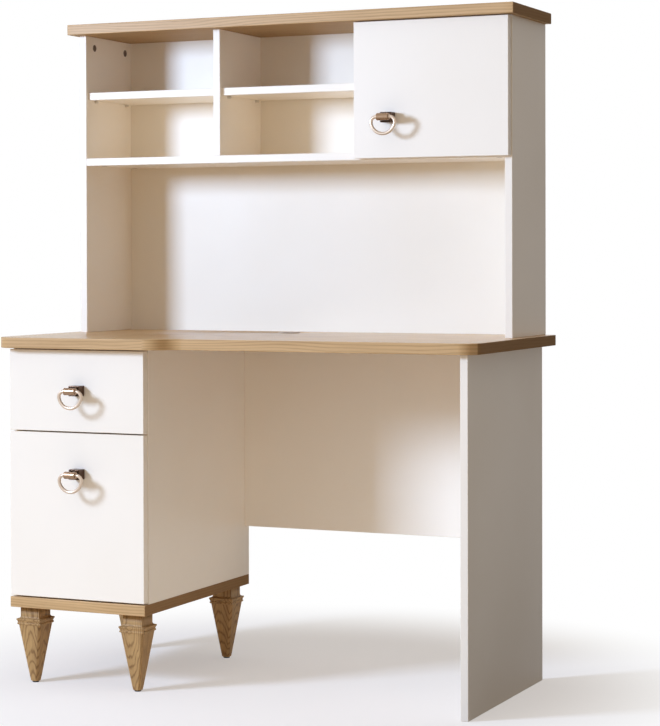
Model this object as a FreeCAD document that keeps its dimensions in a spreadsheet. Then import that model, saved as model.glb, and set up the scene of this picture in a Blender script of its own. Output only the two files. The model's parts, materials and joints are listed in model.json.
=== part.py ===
import FreeCAD
import Part
import Sketcher
import math
import os
import re

# A writing desk: a drawer pedestal on tapered legs, a full-height leg panel and a shelf hutch with a door.
# Millimetres. X runs to the right, Y to the back and Z up, from the floor below the middle of the desk.

# Driving sizes. Each one becomes a cell of the sheet, and every feature below is bound to these cells.
SIZES = {
    # boards
    "carcass_width": 1000,
    "desk_height": 720,
    "total_height": 1390,
    "board": 16,
    "top_board": 22,
    "back_panel": 5,
    "edge_ease": 0.8,
    # desktop, deeper over the pedestal and drawn back in a soft bend beside it
    "desk_depth": 521,
    "side_overhang": 22,
    "back_overhang": 24,
    "front_overhang": 23.5,
    "wing_setback": 39,
    "bend_start": 8,
    "bend_run": 72,
    "corner_radius": 38,
    # leg panel and modesty panel
    "leg_panel_overhang": 18,
    "modesty_low": 291,
    "modesty_inset": 5,
    # pedestal
    "pedestal_width": 318,
    "rail_depth": 70,
    "front_standoff": 1.5,
    "front_reveal": 1.5,
    "front_gap": 3,
    "upper_front_height": 167,
    # tapered legs
    "leg_height": 160,
    "leg_inset": 37.5,
    "leg_tip": 18,
    "leg_top": 53,
    "leg_chamfer": 4,
    "leg_collar": 56,
    "leg_collar_height": 9,
    "leg_lip": 58,
    "leg_lip_height": 4,
    "leg_neck": 45,
    "leg_neck_height": 25,
    "leg_cove": 54,
    "leg_cove_height": 5,
    "glide_width": 14,
    "glide_height": 3,
    "leg_bolt_radius": 4,
    "leg_bolt_length": 34,
    "leg_bolt_bite": 16,
    # thin panels in their grooves
    "back_inset": 6,
    "groove_depth": 6,
    "groove_play": 0.2,
    # hutch
    "hutch_depth": 209,
    "hutch_top_depth": 240,
    "hutch_overhang": 13,
    "lower_cubby_height": 128,
    "upper_cubby_height": 124,
    "shelf_setback": 9,
    "shelf_play": 0.5,
    "shelf_back_play": 2,
    "pin_setback": 37,
    "pin_radius": 2.5,
    "pin_bite": 7,
    "pin_reach": 8,
    "pin_play": 0.05,
    # door
    "door_standoff": 3,
    "door_reveal": 2,
    "door_overlay": 10,
    "bumper_radius": 4,
    "bumper_height": 2.8,
    "bumper_edge_distance": 30,
    # drawers
    "box_side": 12,
    "box_bottom": 4,
    "box_bottom_rise": 8,
    "box_rise": 20,
    "box_back_clearance": 46.5,
    "upper_box_headroom": 27,
    "lower_box_headroom": 70,
    # ball runners
    "runner_thickness": 12.5,
    "runner_inset": 2,
    "runner_rise": 45,
    "runner_height": 35,
    "runner_sheet": 1.2,
    "outer_reach": 9.5,
    "inner_start": 3.5,
    "inner_height": 21.8,
    "cage_start": 2,
    "cage_end": 9.1,
    "cage_sheet": 0.8,
    "cage_length": 100,
    "cage_front": 150,
    "ball_radius": 2.4,
    "ball_play": 0.1,
    "ball_depth": 6.5,
    "ball_pitch": 24,
    # ring pulls
    "pull_drop": 82.5,
    "pull_offset": 8,
    "door_pull_inset": 80,
    "door_pull_rise": 82,
    "pull_axis_out": 36,
    "pull_base_width": 25,
    "pull_base_height": 21,
    "pull_base_depth": 22,
    "pull_post_width": 18,
    "pull_post_height": 12,
    "barrel_radius": 7.5,
    "barrel_length": 26,
    "ring_half_width": 26,
    "ring_drop": 34.3,
    "ring_shoulder": 11.2,
    "ring_wire_radius": 3.4,
    "ring_collar_radius": 4.8,
    "ring_side_play": 0.3,
    "ring_pin_radius": 2,
    "ring_pin_play": 0.05,
    "ring_pin_bite": 8,
    "pull_screw_radius": 2,
    "pull_screw_bite": 9,
    "pull_screw_play": 0.1,
    "pull_screw_head_radius": 4,
    "pull_screw_head_height": 2.5,
    # cup hinges
    "hinge_edge_distance": 60,
    "cup_radius": 17.5,
    "cup_wall": 0.8,
    "cup_depth": 13.4,
    "cup_edge": 3.2,
    "cup_play": 0.1,
    "pivot_in": 7.5,
    "pivot_deep": 10,
    "hinge_pin_radius": 1.2,
    "hinge_pin_play": 0.05,
    "knuckle_radius": 2.2,
    "knuckle_width": 12,
    "ear_half_width": 2.4,
    "ear_gap": 0.3,
    "ear_width": 1.3,
    "arm_sheet": 1.5,
    "arm_offset": 11.2,
    "arm_lead": 0.9,
    "arm_length": 58,
    "plate_front": 20,
    "plate_length": 40,
    "plate_width": 28,
    # cam fittings and dowels
    "cam_radius": 7.5,
    "cam_depth": 12,
    "cam_play": 0.1,
    "cam_drop": 24,
    "cam_setback": 37,
    "cam_bolt_radius": 3,
    "cam_bolt_bite": 9,
    "cam_bolt_play": 0.3,
    "leg_panel_cam_inset": 60,
    "modesty_cam_inset": 50,
    "dowel_radius": 4,
    "dowel_half_length": 14,
    "dowel_play": 0.1,
    "dowel_inset": 50,
    # cable grommet
    "grommet_left": 51,
    "grommet_back_distance": 90,
    "grommet_flange_radius": 23,
    "grommet_flange_height": 1.5,
    "grommet_sleeve_radius": 19,
    "grommet_sleeve_length": 18,
    "grommet_bore_radius": 16.5,
    "grommet_play": 0.1,
}

# Places and sizes that follow from the driving sizes.
PLACES = {
    "side_x": "carcass_width / 2",
    "back_y": "(desk_depth - front_overhang + pull_axis_out + barrel_radius) / 2",
    "desk_front_y": "back_y - desk_depth",
    "carcass_back_y": "back_y - back_overhang",
    "leg_panel_front_y": "desk_front_y + wing_setback + leg_panel_overhang",
    "drawer_face_y": "desk_front_y + front_overhang",
    "drawer_back_y": "drawer_face_y + board",
    "pedestal_front_y": "drawer_back_y + front_standoff",
    "pedestal_back_y": "carcass_back_y - back_inset - back_panel",
    "pedestal_right_x": "pedestal_width - side_x",
    "pedestal_mid_x": "pedestal_width / 2 - side_x",
    "under_top_z": "desk_height - top_board",
    "base_top_z": "leg_height + top_board",
    "modesty_front_y": "carcass_back_y - modesty_inset - board",
    "inner_x": "side_x - board",
    "bay": "(carcass_width - 4 * board) / 3",
    "divider_x": "bay / 2",
    "hutch_front_y": "back_y - hutch_depth",
    "hutch_back_y": "back_y - back_inset - back_panel",
    "ceiling_z": "total_height - top_board",
    "cubby_z": "ceiling_z - upper_cubby_height - board",
    "shelf_top_z": "cubby_z - lower_cubby_height",
    "shelf_under_z": "shelf_top_z - board",
    "bite": "groove_depth - groove_play",
    "door_back_y": "hutch_front_y - door_standoff",
    "door_face_y": "door_back_y - board",
    "door_left_x": "divider_x + board - door_overlay",
    "door_right_x": "side_x - front_reveal",
    "door_low_z": "shelf_under_z + door_reveal",
    "door_high_z": "ceiling_z - door_reveal",
    "pivot_x": "door_right_x - pivot_in",
    "pivot_y": "door_back_y - pivot_deep",
    "cup_x": "door_right_x - cup_edge - cup_radius",
    "plate_x": "pivot_x - arm_offset",
    "upper_front_high_z": "under_top_z - front_gap",
    "upper_front_z": "upper_front_high_z - upper_front_height",
    "lower_front_high_z": "upper_front_z - front_gap",
    "lower_front_z": "base_top_z + front_gap",
    "runner_y": "pedestal_front_y + runner_inset",
    "box_half_width": "pedestal_width / 2 - board - runner_thickness",
    "box_back_y": "pedestal_back_y - box_back_clearance",
    "runner_length": "box_back_y - drawer_back_y",
    "ball_height": "(runner_height / 2 - runner_sheet + inner_height / 2) / 2",
    "front_pin_y": "hutch_front_y + pin_setback",
    "back_pin_y": "back_y - pin_setback",
    "grommet_x": "-grommet_left",
    "grommet_y": "back_y - grommet_back_distance",
}

BALLS_IN_A_ROW = 4
AXES = {"x": FreeCAD.Vector(1, 0, 0), "y": FreeCAD.Vector(0, 1, 0), "z": FreeCAD.Vector(0, 0, 1)}

doc = FreeCAD.newDocument("writing_desk")
sheet = doc.addObject("Spreadsheet::Sheet", "Sheet")
for line, (alias, size) in enumerate(SIZES.items(), start=1):
    sheet.set(f"A{line}", alias)
    sheet.set(f"B{line}", str(size))
    sheet.setAlias(f"B{line}", alias)
doc.recompute()

nodes = {}


def formula(text):
    """Spell a formula in sheet cells. Each word is a cell's alias or a place that is spelled out in turn."""
    def spell(match):
        word = match.group(0)
        return f"({formula(PLACES[word])})" if word in PLACES else f"Sheet.{word}"
    return re.sub(r"[a-z]\w*", spell, text)


def bind(thing, path, text):
    thing.setExpression(path, formula(text))


def put(thing, x, y, z):
    for path, text in (("x", x), ("y", y), ("z", z)):
        bind(thing, f"Placement.Base.{path}", text)


def turned(axis):
    """The rotation that lays a cylinder's own Z axis along the named axis."""
    return FreeCAD.Placement(FreeCAD.Vector(), FreeCAD.Rotation(AXES["z"], AXES[axis]))


def away(side, face, near, far):
    """West and east planes of a slab near to far from a face, on the left (-1) or the right (1)."""
    if side < 0:
        return f"{face} + {near}", f"{face} + {far}"
    return f"{face} - ({far})", f"{face} - ({near})"


class Piece:
    """One solid piece: a body with its own corner, made of boxes and rods at places of the whole desk."""

    def __init__(self, label, x, y, z, node=True):
        self.body = doc.addObject("PartDesign::Body", label)
        self.corner = (x, y, z)
        put(self.body, x, y, z)
        if node:
            nodes[label] = self.body

    def own(self, x, y, z):
        return [f"({text}) - ({corner})" for text, corner in zip((x, y, z), self.corner)]

    def feature(self, kind):
        return self.body.newObject(f"PartDesign::{kind}", f"{self.body.Name}_{kind}")

    def box(self, west, east, south, north, low, high, cut=False):
        thing = self.feature("SubtractiveBox" if cut else "AdditiveBox")
        put(thing, *self.own(west, south, low))
        for path, start, end in (("Length", west, east), ("Width", south, north), ("Height", low, high)):
            bind(thing, path, f"({end}) - ({start})")
        return self

    def rod(self, axis, x, y, z, radius, length, cut=False):
        thing = self.feature("SubtractiveCylinder" if cut else "AdditiveCylinder")
        thing.Placement = turned(axis)
        put(thing, *self.own(x, y, z))
        bind(thing, "Radius", radius)
        bind(thing, "Height", length)
        return self

    def ball(self, x, y, z, radius):
        thing = self.feature("AdditiveSphere")
        put(thing, *self.own(x, y, z))
        bind(thing, "Radius", radius)
        return self

    def bore(self, axis, x, y, z, radius, length):
        return self.rod(axis, x, y, z, radius, length, cut=True)

    def slot(self, west, east, south, north, low, high):
        return self.box(west, east, south, north, low, high, cut=True)

    def ease(self):
        """Break every edge of the piece as it stands with the small chamfer of an edge band."""
        base = self.body.Tip
        doc.recompute()
        thing = self.feature("Chamfer")
        thing.Base = (base, [""])
        thing.UseAllEdges = True
        bind(thing, "Size", "edge_ease")
        return self


def plank(label, west, east, south, north, low, high):
    """A laminated board between six planes, with eased edges."""
    return Piece(label, west, south, low).box(west, east, south, north, low, high).ease()


def group(label, pieces):
    """Several like pieces that share a node, each still a solid of its own."""
    thing = doc.addObject("Part::Compound", label)
    thing.Links = [piece.body for piece in pieces]
    nodes[label] = thing


def plane_of(body, role):
    return next(plane for plane in body.Origin.OriginFeatures if plane.Role == role)


def sketch_on(body, role, name):
    sketch = body.newObject("Sketcher::SketchObject", name)
    sketch.AttachmentSupport = [(plane_of(body, role), "")]
    sketch.MapMode = "FlatFace"
    return sketch


def measure(sketch, name, text, kind, *where):
    """Add a named dimension to a sketch, start it at its present value and bind it to a formula."""
    size = sheet_value(text)
    index = sketch.addConstraint(Sketcher.Constraint(kind, *where, size))
    sketch.renameConstraint(index, name)
    bind(sketch, f"Constraints.{name}", text)


def sheet_value(text):
    """The present value of a formula, for the first drawing of a sketch."""
    return doc.Sheet.evalExpression(formula(text).replace("Sheet.", ""))


def point(x, y):
    return FreeCAD.Vector(x, y, 0)


def arc(centre_x, centre_y, radius, start, end):
    circle = Part.Circle(point(centre_x, centre_y), AXES["z"], radius)
    return Part.ArcOfCircle(circle, math.radians(start), math.radians(end))


# Joinery: each call bores the two boards that meet and adds the fitting that holds them.
cam_locks = []
cam_bolts = []
dowels = []


def cam_joint(panel, mate, lock_axis, mouth, into, bolt_axis, towards):
    """A cam lock in a panel's face, reached from the panel's end by a bolt that is fixed in the mating board.

    mouth is the centre of the lock on the face, into is the sign that leads from there into the panel, and
    towards is the sign that leads from the lock to the mate along the bolt.
    """
    x, y, z = mouth
    shift = dict(zip("xyz", mouth))
    deep = "cam_depth + cam_play"
    shift[lock_axis] += "" if into > 0 else f" - ({deep})"
    panel.bore(lock_axis, shift["x"], shift["y"], shift["z"], "cam_radius + cam_play", deep)
    shift = dict(zip("xyz", mouth))
    shift[lock_axis] += " + cam_play" if into > 0 else f" - ({deep})"
    lock = Piece(f"cam_lock_{len(cam_locks)}", x, y, z, node=False)
    lock.rod(lock_axis, shift["x"], shift["y"], shift["z"], "cam_radius", "cam_depth")
    cam_locks.append(lock)

    centre = dict(zip("xyz", mouth))
    centre[lock_axis] += " + board / 2" if into > 0 else " - board / 2"

    def stretch(near, far):
        """Base and length of a rod from near to far along the bolt, counted from the lock's centre."""
        base = dict(centre)
        base[bolt_axis] += f" + {near}" if towards > 0 else f" - ({far})"
        return base["x"], base["y"], base["z"], f"({far}) - ({near})"

    *place, length = stretch("cam_radius", "cam_drop")
    panel.bore(bolt_axis, *place, "cam_bolt_radius + cam_bolt_play", length)
    *place, length = stretch("cam_drop", "(cam_drop + cam_bolt_bite)")
    mate.bore(bolt_axis, *place, "cam_bolt_radius", length)
    *place, length = stretch("(cam_radius + cam_bolt_play)", "(cam_drop + cam_bolt_bite)")
    bolt = Piece(f"cam_bolt_{len(cam_bolts)}", *place, node=False)
    bolt.rod(bolt_axis, *place, "cam_bolt_radius", length)
    cam_bolts.append(bolt)


def dowel_joint(first, second, axis, x, y, z):
    """A wooden dowel across the face where two boards meet, half of it in each."""
    base = dict(zip("xyz", (x, y, z)))
    base[axis] += " - dowel_half_length"
    place = (base["x"], base["y"], base["z"])
    for piece in (first, second):
        piece.bore(axis, *place, "dowel_radius + dowel_play", "2 * dowel_half_length")
    pin = Piece(f"dowel_{len(dowels)}", *place, node=False)
    pin.rod(axis, *place, "dowel_radius", "2 * dowel_half_length")
    dowels.append(pin)


def desktop_board():
    """The desktop: square at the back, round at the front corners, with a bend of two equal tangent arcs."""
    piece = Piece("desktop", "-side_x - side_overhang", "desk_front_y", "under_top_z")
    body = piece.body
    sketch = sketch_on(body, "XY_Plane", "desktop_outline")
    width = sheet_value("carcass_width + 2 * side_overhang")
    depth = sheet_value("desk_depth")
    step = sheet_value("wing_setback")
    run = sheet_value("bend_run")
    start = sheet_value("side_overhang + pedestal_width + bend_start")
    corner = sheet_value("corner_radius")
    bend = (run * run + step * step) / (4 * step)
    swing = math.degrees(math.asin(run / 2 / bend))
    sketch.addGeometry([
        Part.LineSegment(point(0, depth), point(width, depth)),
        Part.LineSegment(point(width, depth), point(width, step + corner)),
        arc(width - corner, step + corner, corner, -90, 0),
        Part.LineSegment(point(width - corner, step), point(start + run, step)),
        arc(start + run, step - bend, bend, 90, 90 + swing),
        arc(start, bend, bend, -90, -90 + swing),
        Part.LineSegment(point(start, 0), point(corner, 0)),
        arc(corner, corner, corner, 180, 270),
        Part.LineSegment(point(0, corner), point(0, depth)),
    ])
    back, right, right_arc, wing, hollow, swell, front, left_arc, left = range(9)
    for line in (back, wing, front):
        sketch.addConstraint(Sketcher.Constraint("Horizontal", line))
    for line in (right, left):
        sketch.addConstraint(Sketcher.Constraint("Vertical", line))
    sketch.addConstraint(Sketcher.Constraint("Coincident", back, 2, right, 1))
    sketch.addConstraint(Sketcher.Constraint("Coincident", left, 2, back, 1))
    for one, one_end, other, other_end in (
            (right, 2, right_arc, 2), (right_arc, 1, wing, 1), (wing, 2, hollow, 1), (hollow, 2, swell, 2),
            (swell, 1, front, 1), (front, 2, left_arc, 2), (left_arc, 1, left, 1)):
        sketch.addConstraint(Sketcher.Constraint("Tangent", one, one_end, other, other_end))
    sketch.addConstraint(Sketcher.Constraint("Equal", hollow, swell))
    sketch.addConstraint(Sketcher.Constraint("Equal", right_arc, left_arc))
    sketch.addConstraint(Sketcher.Constraint("PointOnObject", front, 1, -1))
    sketch.addConstraint(Sketcher.Constraint("PointOnObject", left, 1, -2))
    measure(sketch, "width", "carcass_width + 2 * side_overhang", "DistanceX", back, 1, back, 2)
    measure(sketch, "depth", "desk_depth", "DistanceY", front, 1, back, 1)
    measure(sketch, "corner", "corner_radius", "Radius", left_arc)
    measure(sketch, "step", "wing_setback", "DistanceY", front, 1, wing, 2)
    measure(sketch, "run", "bend_run", "DistanceX", front, 1, wing, 2)
    measure(sketch, "start", "side_overhang + pedestal_width + bend_start", "DistanceX", -1, 1, front, 1)
    pad = piece.feature("Pad")
    pad.Profile = sketch
    bind(pad, "Length", "top_board")
    doc.recompute()
    piece.ease()
    sleeve = "grommet_sleeve_radius + grommet_play"
    piece.bore("z", "grommet_x", "grommet_y", "under_top_z", sleeve, "top_board")
    return piece


def cable_grommet():
    """A flanged sleeve that lines the cable hole."""
    piece = Piece("cable_grommet", "grommet_x", "grommet_y", "desk_height")
    piece.rod("z", "grommet_x", "grommet_y", "desk_height", "grommet_flange_radius", "grommet_flange_height")
    low = "desk_height - grommet_sleeve_length"
    piece.rod("z", "grommet_x", "grommet_y", low, "grommet_sleeve_radius", "grommet_sleeve_length")
    length = "grommet_sleeve_length + grommet_flange_height"
    piece.bore("z", "grommet_x", "grommet_y", low, "grommet_bore_radius", length)


def taper(piece, x, y, low, high, low_width, high_width):
    """A square block about a vertical axis whose width changes evenly from its foot to its head."""
    wedge = piece.feature("AdditiveWedge")
    wedge.Placement = FreeCAD.Placement(FreeCAD.Vector(), FreeCAD.Rotation(AXES["x"], 90))
    put(wedge, *piece.own(x, y, low))
    bind(wedge, "Ymin", "0")
    bind(wedge, "Ymax", f"({high}) - ({low})")
    for axis in ("X", "Z"):
        bind(wedge, f"{axis}min", f"-({low_width}) / 2")
        bind(wedge, f"{axis}max", f"({low_width}) / 2")
        bind(wedge, f"{axis}2min", f"-({high_width}) / 2")
        bind(wedge, f"{axis}2max", f"({high_width}) / 2")
    doc.recompute()
    return wedge


def tapered_leg(label, x, y, base):
    """A square leg: chamfered taper, flared collar, lip, and a neck that flares down to the lip."""
    collar_z = "leg_height - leg_neck_height - leg_lip_height - leg_collar_height"
    lip_z = "leg_height - leg_neck_height - leg_lip_height"
    neck_z = "leg_height - leg_neck_height"
    piece = Piece(label, x, y, "0")
    shaft = taper(piece, x, y, "glide_height", collar_z, "leg_tip", "leg_top")
    slanted = [f"Edge{number}" for number, edge in enumerate(shaft.Shape.Edges, start=1)
               if edge.BoundBox.ZLength > edge.BoundBox.XLength]
    chamfer = piece.feature("Chamfer")
    chamfer.Base = (shaft, slanted)
    bind(chamfer, "Size", "leg_chamfer")
    taper(piece, x, y, collar_z, lip_z, "leg_top", "leg_collar")
    taper(piece, x, y, neck_z, f"{neck_z} + leg_cove_height", "leg_cove", "leg_neck")
    for low, high, width in ((lip_z, neck_z, "leg_lip"), (neck_z, "leg_height", "leg_neck")):
        half = f"{width} / 2"
        piece.box(f"{x} - {half}", f"{x} + {half}", f"{y} - {half}", f"{y} + {half}", low, high)
    bolt_z = "leg_height + leg_bolt_bite - leg_bolt_length"
    piece.bore("z", x, y, bolt_z, "leg_bolt_radius", "leg_bolt_length")
    base.bore("z", x, y, "leg_height", "leg_bolt_radius", "leg_bolt_bite")
    bolt = Piece(f"{label}_bolt", x, y, "leg_height", node=False)
    bolt.rod("z", x, y, bolt_z, "leg_bolt_radius", "leg_bolt_length")
    glide = Piece(f"{label}_glide", x, y, "0", node=False)
    glide.rod("z", x, y, "0", "glide_width / 2", "glide_height")
    return bolt, glide


def pedestal(desktop):
    """The drawer pedestal: base board on four legs, two sides, a grooved-in back and a front rail."""
    west, east = "-side_x", "pedestal_right_x"
    base = plank("pedestal_base", west, east, "drawer_face_y", "carcass_back_y", "leg_height", "base_top_z")
    fittings = []
    for end, y in (("front", "drawer_face_y + leg_inset"), ("rear", "carcass_back_y - leg_inset")):
        for hand, x in (("left", "-side_x + leg_inset"), ("right", "pedestal_right_x - leg_inset")):
            fittings.append(tapered_leg(f"leg_{end}_{hand}", x, y, base))
    group("leg_bolts", [bolt for bolt, glide in fittings])
    group("leg_glides", [glide for bolt, glide in fittings])

    span = ("pedestal_front_y", "carcass_back_y", "base_top_z", "under_top_z")
    left = plank("pedestal_left_side", west, f"{west} + board", *span)
    right = plank("pedestal_right_side", f"{east} - board", east, *span)
    rail_low = "under_top_z - board"
    rail_back = "pedestal_front_y + rail_depth"
    rail = plank("pedestal_rail", f"{west} + board", f"{east} - board", "pedestal_front_y", rail_back,
                 rail_low, "under_top_z")
    back = Piece("pedestal_back", f"{west} + board - bite", "pedestal_back_y", "base_top_z")
    back.box(f"{west} + board - bite", f"{east} - board + bite",
             "pedestal_back_y", "pedestal_back_y + back_panel", "base_top_z", "under_top_z")
    groove = ("pedestal_back_y - groove_play / 2", "pedestal_back_y + back_panel + groove_play / 2",
              "base_top_z", "under_top_z")
    left.slot(f"{west} + board - groove_depth", f"{west} + board", *groove)
    right.slot(f"{east} - board", f"{east} - board + groove_depth", *groove)

    for side, inner, into in ((left, f"{west} + board", -1), (right, f"{east} - board", 1)):
        centre = f"{inner} + board / 2" if into > 0 else f"{inner} - board / 2"
        for y in ("pedestal_front_y + rail_depth + cam_setback", "pedestal_back_y - cam_setback"):
            cam_joint(side, desktop, "x", (inner, y, "under_top_z - cam_drop"), into, "z", 1)
        for y in ("pedestal_front_y + dowel_inset", "pedestal_back_y - dowel_inset"):
            dowel_joint(side, base, "z", centre, y, "base_top_z")
        middle = f"{inner} - dowel_half_length / 2" if into > 0 else f"{inner} + dowel_half_length / 2"
        dowel_joint(side, rail, "x", middle, "pedestal_front_y + rail_depth / 2", "under_top_z - board / 2")
    return right


def leg_panel_and_modesty(desktop, pedestal_side):
    """The panel that carries the right end of the desktop, and the modesty panel that braces it."""
    panel = plank("right_leg_panel", "inner_x", "side_x",
                  "leg_panel_front_y", "carcass_back_y", "0", "under_top_z")
    for y in ("leg_panel_front_y + leg_panel_cam_inset", "modesty_front_y - leg_panel_cam_inset"):
        cam_joint(panel, desktop, "x", ("inner_x", y, "under_top_z - cam_drop"), 1, "z", 1)
    modesty = plank("modesty_panel", "pedestal_right_x", "inner_x",
                    "modesty_front_y", "modesty_front_y + board", "modesty_low", "under_top_z")
    for z in ("modesty_low + modesty_cam_inset", "under_top_z - modesty_cam_inset"):
        rear = "modesty_front_y + board"
        cam_joint(modesty, panel, "y", ("inner_x - cam_drop", rear, z), -1, "x", 1)
        cam_joint(modesty, pedestal_side, "y", ("pedestal_right_x + cam_drop", rear, z), -1, "x", -1)


def channel(piece, side, face, near, far, web_near, web_far, height, z, start, length):
    """A runner rail: a C of sheet steel whose web lies between web_near and web_far from the cabinet side."""
    south, north = start, f"{start} + {length}"
    west, east = away(side, face, near, far)
    piece.box(west, east, south, north, f"{z} - {height} / 2", f"{z} + {height} / 2")
    hollow = (web_far, far) if web_near == near else (near, web_near)
    west, east = away(side, face, *hollow)
    sheet_metal = "cage_sheet" if "cage" in near else "runner_sheet"
    inside = f"({height} / 2 - {sheet_metal})"
    piece.slot(west, east, south, north, f"{z} - {inside}", f"{z} + {inside}")


def runner_pair(prefix, z):
    """Ball runners on both sides of a drawer: cabinet rails, drawer rails and ball cages between them."""
    outer_rails, inner_rails, cages = [], [], []
    for side, hand in ((-1, "left"), (1, "right")):
        half = "(pedestal_width / 2 - board)"
        face = f"pedestal_mid_x - {half}" if side < 0 else f"pedestal_mid_x + {half}"
        west = away(side, face, "0", "runner_thickness")[0]
        outer = Piece(f"{prefix}_outer_rail_{hand}", west, "runner_y", z, node=False)
        channel(outer, side, face, "0", "outer_reach", "0", "runner_sheet", "runner_height", z,
                "runner_y", "runner_length")
        inner = Piece(f"{prefix}_inner_rail_{hand}", west, "runner_y", z, node=False)
        channel(inner, side, face, "inner_start", "runner_thickness", "(runner_thickness - runner_sheet)",
                "runner_thickness", "inner_height", z, "runner_y", "runner_length")
        cage_y = "runner_y + cage_front"
        cage = Piece(f"{prefix}_cage_{hand}", west, cage_y, z, node=False)
        channel(cage, side, face, "cage_start", "cage_end", "cage_start", "(cage_start + cage_sheet)",
                "(2 * ball_height + cage_sheet)", z, cage_y, "cage_length")
        cages.append(cage)
        ball_x = away(side, face, "ball_depth", "ball_depth")[0]
        for row, level in (("low", f"{z} - ball_height"), ("high", f"{z} + ball_height")):
            base = f"{level} - cage_sheet"
            for number in range(BALLS_IN_A_ROW):
                offset = f"{number - (BALLS_IN_A_ROW - 1) / 2} * ball_pitch"
                y = f"{cage_y} + cage_length / 2 + {offset}"
                cage.bore("z", ball_x, y, base, "ball_radius + ball_play", "2 * cage_sheet")
                ball = Piece(f"{prefix}_{hand}_{row}_ball_{number}", ball_x, y, level, node=False)
                cages.append(ball.ball(ball_x, y, level, "ball_radius"))
        outer_rails.append(outer)
        inner_rails.append(inner)
    group(f"{prefix}_cabinet_rails", outer_rails)
    group(f"{prefix}_drawer_rails", inner_rails)
    group(f"{prefix}_ball_cages", cages)


def drawer(prefix, low, high, headroom):
    """A drawer: overlay front, two grooved sides, a back and a thin bottom, on a pair of ball runners."""
    front_west, front_east = "-side_x + front_reveal", "pedestal_right_x - front_reveal"
    front = plank(f"{prefix}_drawer_front", front_west, front_east,
                  "drawer_face_y", "drawer_back_y", low, high)
    west, east = "pedestal_mid_x - box_half_width", "pedestal_mid_x + box_half_width"
    box_low = f"{low} + box_rise"
    box_high = f"{high} - {headroom}"
    floor = f"{box_low} + box_bottom_rise"
    floor_high = f"{floor} + box_bottom"
    span = ("drawer_back_y", "box_back_y", box_low, box_high)
    left = plank(f"{prefix}_drawer_left_side", west, f"{west} + box_side", *span)
    right = plank(f"{prefix}_drawer_right_side", f"{east} - box_side", east, *span)
    plank(f"{prefix}_drawer_back", f"{west} + box_side", f"{east} - box_side",
          "box_back_y - box_side", "box_back_y", floor_high, box_high)
    groove = ("drawer_back_y", "box_back_y", f"{floor} - groove_play / 2", f"{floor_high} + groove_play / 2")
    left.slot(f"{west} + box_side - groove_depth", f"{west} + box_side", *groove)
    right.slot(f"{east} - box_side", f"{east} - box_side + groove_depth", *groove)
    front.slot(f"{west} + box_side - groove_depth", f"{east} - box_side + groove_depth",
               "drawer_back_y - groove_depth", "drawer_back_y", *groove[2:])
    bottom = Piece(f"{prefix}_drawer_bottom", f"{west} + box_side - bite", "drawer_back_y - bite", floor)
    bottom.box(f"{west} + box_side - bite", f"{east} - box_side + bite",
               "drawer_back_y - bite", "box_back_y", floor, floor_high)
    runner_pair(prefix, f"{box_low} + runner_rise")
    ring_pull(prefix, front, "pedestal_mid_x + pull_offset", "drawer_face_y", f"{high} - pull_drop")


def ring_pull(prefix, front, x, face, z):
    """A ring pull: a stepped block with a cross barrel, the ring that swings in it, and the screw behind."""
    axis_y = f"{face} - pull_axis_out"
    mount = Piece(f"{prefix}_pull_mount", x, face, z)
    mount.box(f"{x} - pull_base_width / 2", f"{x} + pull_base_width / 2", f"{face} - pull_base_depth", face,
              f"{z} - pull_base_height / 2", f"{z} + pull_base_height / 2")
    mount.ease()
    mount.box(f"{x} - pull_post_width / 2", f"{x} + pull_post_width / 2",
              axis_y, f"{face} - pull_base_depth",
              f"{z} - pull_post_height / 2", f"{z} + pull_post_height / 2")
    mount.rod("x", f"{x} - barrel_length / 2", axis_y, z, "barrel_radius", "barrel_length")
    mount.bore("x", f"{x} - barrel_length / 2", axis_y, z, "ring_pin_radius + ring_pin_play", "barrel_length")
    screw_hole = "pull_screw_radius + pull_screw_play"
    depth = "(pull_screw_bite + pull_screw_play)"
    mount.bore("y", x, f"{face} - {depth}", z, screw_hole, depth)
    front.bore("y", x, face, z, screw_hole, "board")
    screw = Piece(f"{prefix}_pull_screw", x, face, z)
    screw.rod("y", x, f"{face} - pull_screw_bite", z, "pull_screw_radius", "pull_screw_bite + board")
    screw.rod("y", x, f"{face} + board", z, "pull_screw_head_radius", "pull_screw_head_height")
    swing_ring(prefix, x, axis_y, z)


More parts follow.
